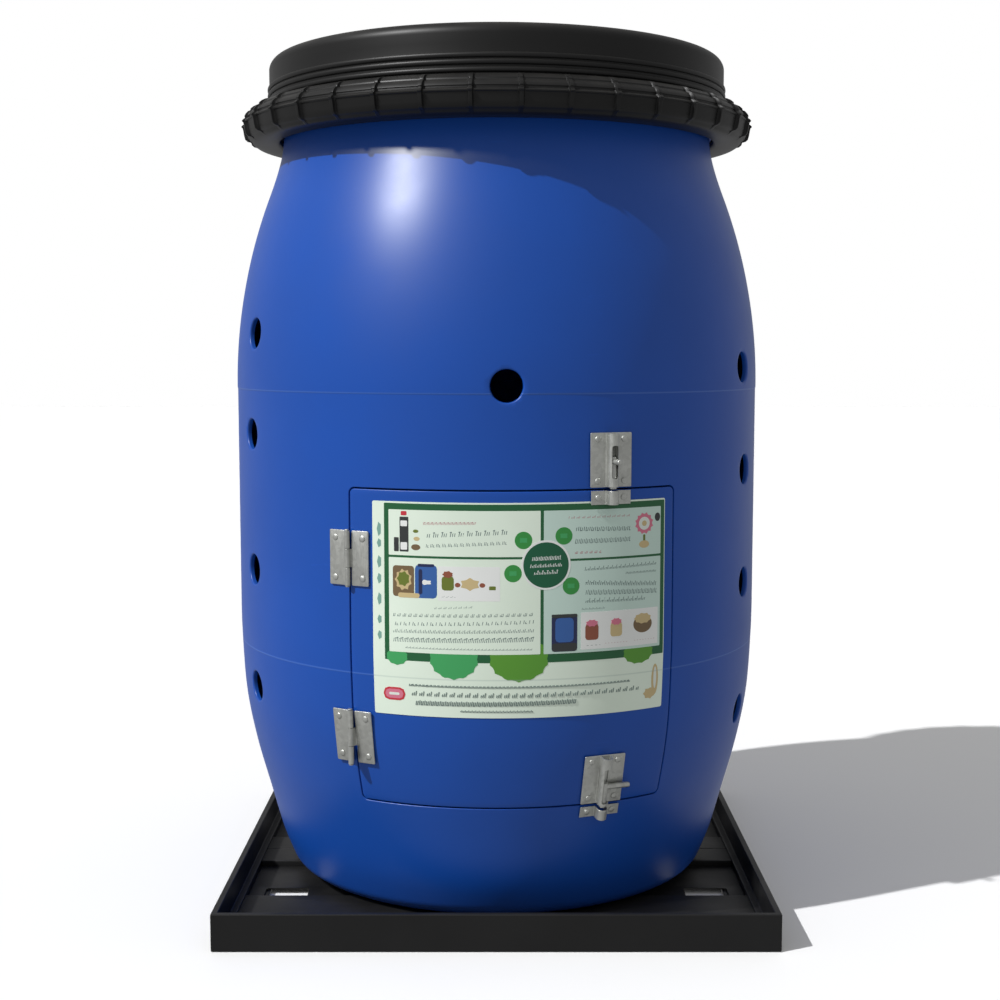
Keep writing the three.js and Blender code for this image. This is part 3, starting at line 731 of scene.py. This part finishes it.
def label_print_mesh():
    """All printed shapes as thin closed slips that follow the skin, each point holding its ink."""
    points, faces, inks, start = [], [], [], 0
    for outline, ink, layer in label_art():
        span = np.ptp(outline, axis=0).max()
        scales = np.linspace(0, 1, 2 + int(span / 6))
        level = LABEL_TOP + LAYER * layer
        rows = [(k, 0, LABEL_TOP - 0.1) for k in scales] + [(k, 0, level) for k in scales[::-1]]
        grid = wrapped(stacked(fitted(outline), rows))
        count = grid.shape[0] * grid.shape[1]
        points.append(grid.reshape(-1, 3) * MM)
        faces.append(grid_faces(*grid.shape[:2], False, start))
        inks.append(np.tile(np.array(INKS[ink], np.float32), (count, 1)))
        start += count
    mesh = bpy.data.meshes.new("label_print")
    mesh.from_pydata(np.vstack(points), [], np.vstack(faces))
    layer = mesh.color_attributes.new("ink", "FLOAT_COLOR", "POINT")
    layer.data.foreach_set("color", np.vstack(inks).ravel())
    work = bmesh.new()
    work.from_mesh(mesh)
    bmesh.ops.remove_doubles(work, verts=work.verts, dist=2e-6)
    bmesh.ops.dissolve_degenerate(work, edges=work.edges, dist=1e-7)
    bmesh.ops.recalc_face_normals(work, faces=work.faces)
    work.to_mesh(mesh)
    work.free()
    finish_shading(mesh, 30)
    return mesh


# ---- settings ----
def color_setting(name, description, default):
    return bpy.props.FloatVectorProperty(
        name=name, description=description, subtype="COLOR", size=3, min=0, max=1, default=default)


def length_setting(name, description, default, low, high):
    return bpy.props.FloatProperty(
        name=name, description=description, unit="LENGTH", min=low, max=high, default=default)


def strength_setting(name, description, default, high=20):
    return bpy.props.FloatProperty(name=name, description=description, min=0, max=high, default=default)


class CompostDrumSettings(bpy.types.PropertyGroup):
    """Sizes and colours of the composting drum."""

    drum_color: color_setting("Drum", "Colour of the blue moulded plastic", (0.0055, 0.072, 0.400))
    lid_color: color_setting("Lid and ring", "Colour of the black moulded plastic", (0.0075, 0.0075, 0.0075))
    steel_color: color_setting("Base", "Colour of the powder coat", (0.006, 0.006, 0.0062))
    zinc_color: color_setting("Fittings", "Colour of the zinc plating", (0.56, 0.57, 0.54))
    rubber_color: color_setting("Gasket", "Colour of the gasket's rubber", (0.02, 0.02, 0.02))
    vent_radius: length_setting("Vent radius", "Radius of each air hole", 0.017, 0.005, 0.03)
    mould_step: length_setting(
        "Mould step", "How far the upper half stands out past the upper mould line", 0.0005, 0, 0.003)
    rib_height: length_setting("Ring rib", "How far each grip rib stands out of the ring", 0.004, 0, 0.008)
    lens: bpy.props.FloatProperty(
        name="Lens", description="Focal length of the camera", subtype="DISTANCE_CAMERA",
        min=20, max=200, default=56.3)
    camera_distance: length_setting(
        "Camera distance", "From the camera to the drum's axis, level", 1.888, 0.5, 6)
    camera_height: length_setting("Camera height", "Height of the camera over the ground", 0.632, 0, 4)
    camera_pitch: bpy.props.FloatProperty(
        name="Camera pitch", description="How far the camera looks down", subtype="ANGLE",
        min=0, max=1.5, default=0.0974)
    sun_strength: strength_setting("Key light", "Strength of the key light", 3.35)
    sheen_strength: strength_setting("Sheen", "Strength of a wider light seen only in gloss", 4.5)
    fill_strength: strength_setting("Fill light", "Strength of the even white surround", 0.42, 4)


# ---- pieces ----
def vent_cutter(azimuth, height, radius):
    """A round plug through the wall that flares at the skin, so that the mouth comes out rounded."""
    along = math.radians(azimuth) * BELLY
    wide = radius * BELLY / float(skin_radius(height, False))
    outline = oval(along, height, wide, radius, count=56)
    rows = [(0, 0, -14), (0.5, 0, -14), (1, 0, -14), (1, 0, -1.9), (1, 0.12, -1.25), (1, 0.42, -0.7),
            (1, 0.9, -0.28), (1, 1.5, 0.0), (1, 2.4, 0.25), (1, 2.4, 8), (0.5, 0, 8), (0, 0, 8)]
    return wrapped(stacked(outline, rows))


def door_cutter():
    """A block with the door's outline that follows the skin and flares a little at the mouth."""
    outline = panel_outline(DOOR_LEFT, DOOR_RIGHT, DOOR_BOTTOM, DOOR_TOP, DOOR_CORNER, 0.7)
    scales = np.linspace(0, 1, 16)
    rows = [(k, 0, -14) for k in scales]
    rows += [(1, 0, -1.0), (1, 0.1, -0.55), (1, 0.35, -0.2), (1, 0.8, 0.12), (1, 0.8, 8)]
    rows += [(k, 0, 8) for k in scales[::-1][1:]]
    return wrapped(stacked(outline, rows))


def shell_profile():
    """The closed wall: under the floor, up the skin, over the rim, down inside and across the floor."""
    near_lines = [line + np.linspace(-3, 3, 13) for line in MOULD_LINES]
    heights = np.unique(np.round(np.concatenate([np.arange(38, 871, 5.5), *near_lines]), 2))
    skin = np.column_stack([skin_radius(heights), heights])
    rim = arc((248, 898), 2, 0, 90, 5)
    lip = arc((247, 898), 2, 90, 180, 5)
    inside = np.arange(890, 40, -10.0)
    inner = np.column_stack([skin_radius(inside, False) - WALL, inside])
    corner = bezier((inner[-1][0], inner[-1][1]), (238, 19), (210, 18.6), 8)[1:]
    return np.vstack([[(0, 13.6), (110, 13.6)], OUTLINE[:12], skin, [(250, 876), (250, 888)],
                      rim, lip, inner, corner, [(110, 18.6), (0, 18.6)]])


def thread_ridge():
    """One turn and a half of a rounded ridge that winds up the neck, tapering into it at both ends."""
    angle = np.linspace(0, 3 * np.pi, 260)
    height = 872 + 16 * angle / (3 * np.pi)
    swell = np.clip(np.minimum(angle, angle[-1] - angle) / 0.35, 0, 1)
    around = np.linspace(0, 2 * np.pi, 12, endpoint=False)
    radius = 249.6 + swell[:, None] * (1.5 + 1.5 * np.cos(around))
    z = height[:, None] + 2.2 * swell[:, None] * np.sin(around)
    rows = np.stack([radius * np.sin(angle[:, None]), -radius * np.cos(angle[:, None]), z], axis=-1)
    return rows


def rivet_grid(place, x, y, plate_top):
    """A domed head on a plate, a shank through the wall and a flat-domed tail behind it."""
    under = plate_top + 0.1
    tail_top = -WALL - 2.9
    turn = np.radians(np.arange(0, 90, 15))
    head = np.column_stack([RIVET_HEAD * np.cos(turn), under + 0.2 + np.sin(turn)])
    tail = [(0, tail_top - 1.3), (RIVET_SHANK, tail_top - 1.2), (2.5, tail_top - 0.8),
            (RIVET_TAIL, tail_top - 0.2), (RIVET_TAIL, tail_top)]
    shank = [(RIVET_SHANK, tail_top), (RIVET_SHANK, under), (RIVET_HEAD, under)]
    return placed(turned([*tail, *shank, *head, (0, under + 1.2)], 28) + np.array([x, y, 0]), place)


def hinge_axis(height):
    """The leaning frame on the barrels' axis: X to the right, Y up the axis, Z outwards."""
    top = float(skin_radius(HINGES["upper"], False)) + HINGE_STANDOFF["upper"]
    low = float(skin_radius(HINGES["lower"], False)) + HINGE_STANDOFF["lower"]
    lean = (top - low) / (HINGES["upper"] - HINGES["lower"])
    place = skin_frame(DOOR_LEFT, height, lean)
    angle = math.radians(DOOR_LEFT)
    reach = low + lean * (height - HINGES["lower"])
    place[:3, 3] = [reach * math.sin(angle), -reach * math.cos(angle), height]
    return place, reach - float(skin_radius(height, False))


def knuckle(side, drop, low, high):
    """A leaf's edge rolled round the pin: a flat run, a bend up to the barrel and most of a turn round it."""
    flat = np.array([(6.2, -drop), (4.6, -drop)])
    bend = bezier((3.8, -drop), (2.45, -drop), (2.45, -0.2), 7)
    roll = arc((0, 0), 2.45, 4, 292, 26)
    path = np.vstack([flat, bend, roll]) * np.array([side, 1])
    return bent_strip(path, 1.1, low, high)


def strap_path(centre, foot, reach):
    """Half of an arch over the bolt and its mirror: a foot, a bend up, a straight side and a half circle."""
    bend = bezier((-7.0, foot), (-5.25, foot), (-5.25, foot + 1.8), 6)
    left = np.vstack([[(-reach, foot), (-8.4, foot)], bend])
    crown = arc((0, centre), 5.25, 180, 0, 19)
    return np.vstack([left, crown, left[::-1] * np.array([-1, 1])])


def bolt_frame(where):
    bolt = BOLTS[where]
    middle = (bolt["bottom"] + bolt["top"]) / 2
    place = skin_frame(BOLT_AZIMUTH, middle)
    half = (bolt["top"] - middle) / place[2, 1]
    return bolt, middle, place, half


def need(kind):
    """The material made earlier for a finish, or a plain error if its step hasn't run."""
    if kind not in bpy.data.materials:
        raise RuntimeError(f"make the finishes before {kind}")
    return bpy.data.materials[kind]


class COMPOST_OT_finishes(bpy.types.Operator):
    """Make every finish: moulded plastics, powder coat, zinc, rubber and the printed label"""

    bl_idname = "compost.finishes"
    bl_label = "Finishes"

    def execute(self, context):
        settings = context.scene.compost_drum
        handling_group()
        dust_group()
        spangle_group()
        seam_and_painted_light_group()
        moulded_plastic("drum_plastic", settings.drum_color, 0.37, 0.35, 1500.0, 0.05, 0.36)
        moulded_plastic("lid_plastic", settings.lid_color, 0.42, 0.5, 900.0, 0.08, 0.27)
        powder_coat("tray_coating", settings.steel_color)
        zinc_plate("fitting_zinc", settings.zinc_color)
        rubber_skin("seal_rubber", settings.rubber_color)
        printed_vinyl("sticker_vinyl", 0.32)
        return {"FINISHED"}


class COMPOST_OT_drum(bpy.types.Operator):
    """Make the moulded drum with its air holes, door opening and neck thread"""

    bl_idname = "compost.drum"
    bl_label = "Drum"

    def execute(self, context):
        settings = context.scene.compost_drum
        shell = make_mesh("drum_body", [turned(shell_profile(), 288)])
        vents = make_mesh("vents", [vent_cutter(a, z, settings.vent_radius / MM) for a, z in VENTS])
        door = make_mesh("doorway", [door_cutter()])
        body = cut_away(shell, [vents, door])
        add_piece("drum_body", body, need("drum_plastic"), "drum", ["drum_shell"])
        thread = make_mesh("neck_thread", [thread_ridge()])
        add_piece("neck_thread", thread, need("drum_plastic"), "drum")
        return {"FINISHED"}


class COMPOST_OT_door(bpy.types.Operator):
    """Make the unloading door, cut from the same wall, with rounded edges"""

    bl_idname = "compost.door"
    bl_label = "Door"

    def execute(self, context):
        outline = panel_outline(DOOR_LEFT, DOOR_RIGHT, DOOR_BOTTOM, DOOR_TOP, DOOR_CORNER, -0.8)
        scales = np.linspace(0, 1, 34)
        turn = np.radians([0, 22, 45, 67, 90])
        rim = [(1, -0.9 * (1 - math.cos(a)), -0.9 * (1 - math.sin(a))) for a in turn]
        back = [(k, 0, -WALL) for k in scales[::3]]
        front = [(k, -0.9 * k, 0) for k in scales[::-1]]
        rows = back + [(1, 0, -WALL + 0.3)] + rim + front
        mesh = make_mesh("unloading_door", [wrapped(stacked(outline, rows))])
        add_piece("unloading_door", mesh, need("drum_plastic"), "door", ["door_panel"])
        return {"FINISHED"}


class COMPOST_OT_label(bpy.types.Operator):
    """Make the sticker on the door and its generic print"""

    bl_idname = "compost.label"
    bl_label = "Label"

    def execute(self, context):
        outline = panel_outline(**LABEL, edge_steps=48)
        scales = np.linspace(0, 1, 40)
        face = [(k, 0, LABEL_TOP) for k in scales[::-1]]
        rows = [(k, 0, 0.25) for k in scales] + [(1, 0, LABEL_TOP)] + face
        sheet = make_mesh("label_sheet", [wrapped(stacked(outline, rows))])
        ink = sheet.color_attributes.new("ink", "FLOAT_COLOR", "POINT")
        color = np.tile(np.array(INKS["mint"], np.float32), (len(sheet.vertices), 1))
        ink.data.foreach_set("color", color.ravel())
        add_piece("label_sheet", sheet, need("sticker_vinyl"), "door", ["label_panel"])
        add_piece("label_artwork", label_print_mesh(), need("sticker_vinyl"), "door")
        return {"FINISHED"}


class COMPOST_OT_hinges(bpy.types.Operator):
    """Make the two butt hinges with rolled knuckles, their pins and rivets"""

    bl_idname = "compost.hinges"
    bl_label = "Hinges"

    def execute(self, context):
        zinc = need("fitting_zinc")
        half = HINGE_TALL / 2
        third = HINGE_TALL / 6
        runs = {"drum": (-1, [(-half, -third - 0.5), (third + 0.5, half)]), "door": (1, [(-third, third)])}
        for where, height in HINGES.items():
            axis, _ = hinge_axis(height)
            for onto, (side, knuckles) in runs.items():
                turn = math.degrees((HINGE_LEAF / 2 + 3.8) / BELLY)
                leaf = skin_frame(DOOR_LEFT + side * turn, height)
                flat = slab(rounded(HINGE_LEAF, HINGE_TALL, 1.4), PLATE_SEAT, HINGE_PLATE_TOP, 0.45)
                parts = [placed(flat, leaf)]
                for low, high in knuckles:
                    standoff = hinge_axis(height + (low + high) / 2)[1]
                    parts.append(placed(knuckle(side, standoff - 1.5, low, high), axis))
                name = f"hinge_{where}_{onto}"
                mesh = make_mesh(f"{name}_plate", parts)
                add_piece(f"{name}_plate", mesh, zinc, onto, [f"{name}_leaf"], 0.2)
                rivets = [rivet_grid(leaf, side * 3, end * (half - 8), HINGE_PLATE_TOP) for end in (1, -1)]
                add_piece(f"{name}_rivets", make_mesh(f"{name}_rivets", rivets), zinc, onto,
                          [f"rivet_{name}_top", f"rivet_{name}_bottom"])
            head = bar_profile(PIN_HEAD, half + 0.3, half + 1.5, 0.5)
            foot = bar_profile(PIN_HEAD, -half - 1.5, -half - 0.3, 0.5)
            shank = bar_profile(PIN_RADIUS, -half - 1, half + 1, 0.3)
            bars = [placed(along_y(turned(p, 32)), axis) for p in (shank, head, foot)]
            add_piece(f"hinge_{where}_rod", make_mesh(f"hinge_{where}_rod", bars), zinc, "drum",
                      [f"hinge_{where}_pin"])
        return {"FINISHED"}


class COMPOST_OT_bolts(bpy.types.Operator):
    """Make the two slide bolts: plates, slotted channels, round bolts with handles, keepers and rivets"""

    bl_idname = "compost.bolts"
    bl_label = "Slide bolts"

    def execute(self, context):
        zinc = need("fitting_zinc")
        bodies = {"upper": ("drum", "door", "upper_bolt"), "lower": ("door", "drum", "lower_bolt")}
        for where, (plate_body, keeper_body, rod_body) in bodies.items():
            bolt, middle, place, half = bolt_frame(where)
            plate = slab(rounded(BOLT_PLATE_WIDTH, 2 * half, 1.2), PLATE_SEAT, BOLT_PLATE_TOP, 0.4)
            base = make_mesh(f"bolt_{where}_base", [placed(plate, place)])
            add_piece(f"bolt_{where}_base", base, zinc, plate_body, [f"bolt_{where}_plate"])
            tunnel = bent_strip(strap_path(BOLT_HEIGHT, 1.4, 9.4), 1.3, 0.6 - half, half - 0.6)
            right = 12 if where == "lower" else SLOT
            under = BOLT_HEIGHT - SLOT if where == "lower" else BOLT_HEIGHT
            slot_tall = bolt["raise"] + bolt["drop"] + 2 * SLOT
            slot_middle = bolt["handle"] + (bolt["raise"] - bolt["drop"]) / 2
            opening = rounded(right + SLOT, slot_tall, 2.2) + np.array([(right - SLOT) / 2, slot_middle])
            cutter = make_mesh("slot", [placed(slab(opening, under, BOLT_HEIGHT + 12), place)])
            channel = cut_away(make_mesh("channel", [placed(tunnel, place)]), [cutter])
            add_piece(f"bolt_{where}_channel", channel, zinc, plate_body)
            corners = {f"{row}_{column}": (x * BOLT_RIVET_X, y * (half - BOLT_RIVET_EDGE))
                       for row, y in (("top", 1), ("bottom", -1))
                       for column, x in (("left", -1), ("right", 1))}
            rivets = [rivet_grid(place, x, y, BOLT_PLATE_TOP) for x, y in corners.values()]
            mesh = make_mesh(f"bolt_{where}_rivets", rivets)
            add_piece(f"bolt_{where}_rivets", mesh, zinc, plate_body,
                      [f"rivet_bolt_{where}_{corner}" for corner in corners])

            tip = (bolt["tip"] - middle) / place[2, 1]
            grip = np.array([0, bolt["handle"], BOLT_HEIGHT])
            rod = along_y(turned(bar_profile(ROD_RADIUS, tip, bolt["handle"] + 5, 0.8), 40))
            rod += np.array([0, 0, BOLT_HEIGHT])
            if where == "lower":
                handle = along_x(turned(bar_profile(HANDLE_RADIUS, -1, 29, 1.1), 32)) + grip
            else:
                handle = turned(bar_profile(HANDLE_RADIUS, 0, 17, 1.1), 32) + grip
            mesh = make_mesh(f"bolt_{where}_bar", [placed(part, place) for part in (rod, handle)])
            add_piece(f"bolt_{where}_bar", mesh, zinc, rod_body, [f"bolt_{where}_rod"])

            keeper_place = skin_frame(BOLT_AZIMUTH, bolt["keeper"])
            along = np.array([[0, (bolt["keeper"] - middle) / place[2, 1], BOLT_HEIGHT]])
            centre = (placed(along, place)[0] - keeper_place[:3, 3]) @ keeper_place[:3, :3]
            lift = bolt["lift"]
            reach = bolt["tall"] / 2
            path = strap_path(float(centre[2]), lift + KEEPER_THICK / 2, 22.5)
            arch = bent_strip(path, KEEPER_THICK, -reach, reach)
            mesh = make_mesh(f"keeper_{where}_arch", [placed(arch, keeper_place)])
            add_piece(f"keeper_{where}_arch", mesh, zinc, keeper_body, [f"keeper_{where}"], 0.3)
            rivets = [rivet_grid(keeper_place, side * KEEPER_RIVET_X, 0, lift + KEEPER_THICK)
                      for side in (-1, 1)]
            mesh = make_mesh(f"keeper_{where}_rivets", rivets)
            add_piece(f"keeper_{where}_rivets", mesh, zinc, keeper_body,
                      [f"rivet_keeper_{where}_{label}" for label in ("left", "right")])
        return {"FINISHED"}


class COMPOST_OT_lid(bpy.types.Operator):
    """Make the domed lid with three beads round its skirt, and the gasket under it"""

    bl_idname = "compost.lid"
    bl_label = "Lid"

    def execute(self, context):
        t = np.linspace(0.02, np.pi - 0.02, 11)
        beads = [np.column_stack([266 + 2.1 * np.sin(t) ** 0.8, low + (high - low) * (1 - np.cos(t)) / 2])
                 for low, high in ((910, 915.6), (917.8, 923.6), (924.8, 930.4))]
        shoulder = arc((254, 950), 12, 0, 90, 12)
        well = np.array([(238, 962), (236, 961.7), (234, 960.6), (231, 958.2), (229, 957.2), (226, 957)])
        rings = np.linspace(215, 20, 14)
        top = np.column_stack([rings, 957 + 1.2 * (1 - (rings / 215) ** 2)])
        profile = np.vstack([
            [(0, 953), (120, 953), (248, 953), (254, 950), (258, 946), (262, 938), (262, 905.6),
             (242.4, 905.4), (242, 905.1), (242, 903.7), (242.4, 903.4), (275.6, 903.4), (276, 903.8),
             (276, 905), (275.6, 905.4), (266.5, 905.4), (266, 905.8), (266, 909)],
            *beads, [(266, 932), (266, 940)], shoulder, well, top, [(0, 958.2)],
        ])
        mesh = make_mesh("domed_lid", [turned(profile, 240)])
        add_piece("domed_lid", mesh, need("lid_plastic"), "lid", ["lid_cap"])
        section = rounded(9.5, 2.8, 1.1, 5) + np.array([247.75, 901.7])
        seal = make_mesh("lid_seal", [(turned(section, 160), True)])
        add_piece("lid_seal", seal, need("seal_rubber"), "lid", ["lid_gasket"])
        return {"FINISHED"}


class COMPOST_OT_ring(bpy.types.Operator):
    """Make the screw ring: one swept section whose outside swells into 36 upright grip ribs"""

    bl_idname = "compost.ring"
    bl_label = "Lock ring"

    def execute(self, context):
        proud = context.scene.compost_drum.rib_height / MM
        outside = np.array([
            (258, 866.0, 0), (276, 865.6, 0), (283, 866.4, 0), (286, 868.4, 0.1), (287.2, 870.4, 0.5),
            (289, 871.2, 0.9), (291.2, 873.5, 1), (292.4, 878, 1), (293.2, 883, 1), (294, 886.6, 1),
            (295.2, 887.4, 1), (295.4, 888.6, 1), (294.2, 889.8, 1), (292.2, 891.2, 1), (292.0, 892.6, 1),
            (292.6, 893.6, 1), (291.4, 896, 1), (288.6, 899, 1), (286.4, 899.8, 1), (285.6, 900.8, 1),
            (285.4, 902.2, 1), (282.6, 904.6, 1), (279.6, 906.4, 0.8), (276.5, 907.4, 0.4),
            (273.5, 907.9, 0.05), (272.4, 908, 0),
        ])
        inside = np.array([
            (270.4, 908, 0), (269.8, 907.5, 0), (269.8, 906.2, 0), (270.3, 905.7, 0), (279, 905.7, 0),
            (287, 896, 0), (287, 871, 0), (259, 871, 0), (259, 899, 0), (258.5, 899.5, 0), (254.5, 899.5, 0),
            (254, 899, 0), (254, 870, 0), (255, 868, 0),
        ])
        section = np.vstack([outside, inside])
        step = np.array([-5, -3.8, -2.6, -1.6, -1.0, -0.62, -0.5, -0.44, -0.38, -0.3, -0.12,
                         0.12, 0.3, 0.38, 0.44, 0.5, 0.62, 1.0, 1.6, 2.6, 3.8])
        centres = (np.arange(RING_RIBS) + 0.5) * 360 / RING_RIBS
        degrees = (centres[:, None] + step[None, :]).ravel()
        away = np.abs(np.tile(step, RING_RIBS))
        rib = np.clip((0.56 - away) / 0.2, 0, 1)
        rib = rib * rib * (3 - 2 * rib)
        radius = section[:, :1] + section[:, 2:] * proud * rib[None, :]
        angle = np.radians(degrees)[None, :]
        z = np.broadcast_to(section[:, 1:2], radius.shape)
        grid = np.stack([radius * np.sin(angle), -radius * np.cos(angle), z], axis=-1)
        mesh = make_mesh("screw_ring", [(grid, True)], 38)
        add_piece("screw_ring", mesh, need("lid_plastic"), "lock_ring", ["lock_ring"])
        return {"FINISHED"}


class COMPOST_OT_base(bpy.types.Operator):
    """Make the welded base: the square frame, four deck boards and two slotted pans"""

    bl_idname = "compost.base"
    bl_label = "Base"

    def execute(self, context):
        steel = need("tray_coating")
        section = [(0, 0), (38, 0), (38, 4), (15, 4), (15, 13.3), (7, 13.3), (7, 40.4), (0, 40.4)]
        rows = []
        for inset, z in section:
            half = BASE_HALF - inset
            rows.append([(-half, -half, z), (half, -half, z), (half, half, z), (-half, half, z)])
        mesh = make_mesh("base_tray", [(np.array(rows, float), True)])
        add_piece("base_tray", mesh, steel, "drum", ["base_frame"], 1.1)
        boards = {"front": (-284.7, -165.7), "middle_front": (-46, -0.3), "middle_rear": (0.3, 46),
                  "rear": (165.7, 284.7)}
        for name, (near, far) in boards.items():
            outline = rounded(DECK_WIDTH, far - near, 1.5, 4, 12) + np.array([0, (near + far) / 2])
            board = make_mesh(f"board_{name}", [slab(outline, DECK_LOW, DECK_TOP, 0.9)])
            add_piece(f"board_{name}", board, steel, "drum", [f"deck_board_{name}"])
        for name, side in (("front", -1), ("rear", 1)):
            outline = rounded(DECK_WIDTH, 119.1, 1.0, 3, 12) + np.array([0, side * 105.85])
            sheet = make_mesh(f"pan_{name}", [slab(outline, DECK_LOW, DECK_LOW + 2, 0.3)])
            slots = [slab(rounded(50, 38, 4, 6) + np.array([end * 242, side * 141.4]), 0, 12, 0.3)
                     for end in (-1, 1)]
            sheet = cut_away(sheet, [make_mesh("slots", slots)])
            add_piece(f"pan_{name}", sheet, steel, "drum", [f"floor_pan_{name}"])
        return {"FINISHED"}


class COMPOST_OT_stage(bpy.types.Operator):
    """Set the floor, the key light, the white surround and the camera"""

    bl_idname = "compost.stage"
    bl_label = "Stage"

    def execute(self, context):
        scene = context.scene
        settings = scene.compost_drum
        material, s, body = new_material("pale_floor")
        cloud = s.noise(s.add("ShaderNodeTexCoord").outputs["Object"], 2.0, 3.0)
        s.link(s.mix(cloud, (0.91, 0.91, 0.91, 1), (0.94, 0.94, 0.94, 1)), body.inputs["Base Color"])
        body.inputs["Roughness"].default_value = 0.6
        body.inputs["Specular IOR Level"].default_value = 0.2
        side = np.linspace(-15, 15, 3)
        x, y = np.meshgrid(side, side, indexing="ij")
        ground = bpy.data.meshes.new("floor")
        points = np.stack([x, y, np.full_like(x, -0.0005)], axis=-1).reshape(-1, 3)
        quads = [(0, 3, 4, 1), (1, 4, 5, 2), (3, 6, 7, 4), (4, 7, 8, 5)]
        ground.from_pydata(points, [], quads)
        ground.materials.append(material)
        floor = bpy.data.objects.new("floor", ground)
        scene.collection.objects.link(floor)
        floor.visible_diffuse = False
        floor.visible_glossy = False

        world = bpy.data.worlds.new("studio")
        world.use_nodes = True
        scene.world = world
        sky = Shader(world.node_tree)
        background = world.node_tree.nodes["Background"]
        background.inputs["Color"].default_value = (1, 1, 1, 1)
        seen = sky.add("ShaderNodeLightPath").outputs["Is Camera Ray"]
        sky.link(sky.remap(seen, 0, 1, settings.fill_strength, 1.0), background.inputs["Strength"])

        lamps = (("key", settings.sun_strength, 0.9, (-0.6355, -0.31, 0.707)),
                 ("sheen", settings.sheen_strength, 6, (-0.601, -0.437, 0.669)))
        for name, strength, angle, direction in lamps:
            lamp = bpy.data.lights.new(name, "SUN")
            lamp.energy = strength
            lamp.angle = math.radians(angle)
            light = bpy.data.objects.new(name, lamp)
            scene.collection.objects.link(light)
            toward = Vector(direction)
            light.location = toward * 3
            light.rotation_euler = toward.to_track_quat("Z", "Y").to_euler()
            light.visible_diffuse = name == "key"
            light.visible_glossy = name == "sheen"

        lens = bpy.data.cameras.new("camera")
        lens.lens = settings.lens
        lens.sensor_width = 36
        camera = bpy.data.objects.new("camera", lens)
        scene.collection.objects.link(camera)
        camera.location = (0.004, -settings.camera_distance, settings.camera_height)
        camera.rotation_euler = (math.pi / 2 - settings.camera_pitch, 0, 0)
        scene.camera = camera
        scene.view_settings.view_transform = "Standard"
        return {"FINISHED"}


STEPS = (
    COMPOST_OT_stage, COMPOST_OT_finishes, COMPOST_OT_base, COMPOST_OT_drum, COMPOST_OT_door,
    COMPOST_OT_label, COMPOST_OT_hinges, COMPOST_OT_bolts, COMPOST_OT_lid, COMPOST_OT_ring,
)


class COMPOST_PT_panel(bpy.types.Panel):
    """Sizes, colours and the steps in their order"""

    bl_label = "Composting Drum"
    bl_idname = "COMPOST_PT_panel"
    bl_space_type = "VIEW_3D"
    bl_region_type = "UI"
    bl_category = "Compost"

    def draw(self, context):
        settings = context.scene.compost_drum
        for name in CompostDrumSettings.__annotations__:
            self.layout.prop(settings, name)
        for step in STEPS:
            self.layout.operator(step.bl_idname)


def register():
    for kind in (CompostDrumSettings, *STEPS, COMPOST_PT_panel):
        bpy.utils.register_class(kind)
    bpy.types.Scene.compost_drum = bpy.props.PointerProperty(type=CompostDrumSettings)


def unregister():
    del bpy.types.Scene.compost_drum
    for kind in reversed((CompostDrumSettings, *STEPS, COMPOST_PT_panel)):
        bpy.utils.unregister_class(kind)


def main():
    register()
    for step in STEPS:
        group, action = step.bl_idname.split(".")
        getattr(getattr(bpy.ops, group), action)()


if __name__ == "__main__":
    main()
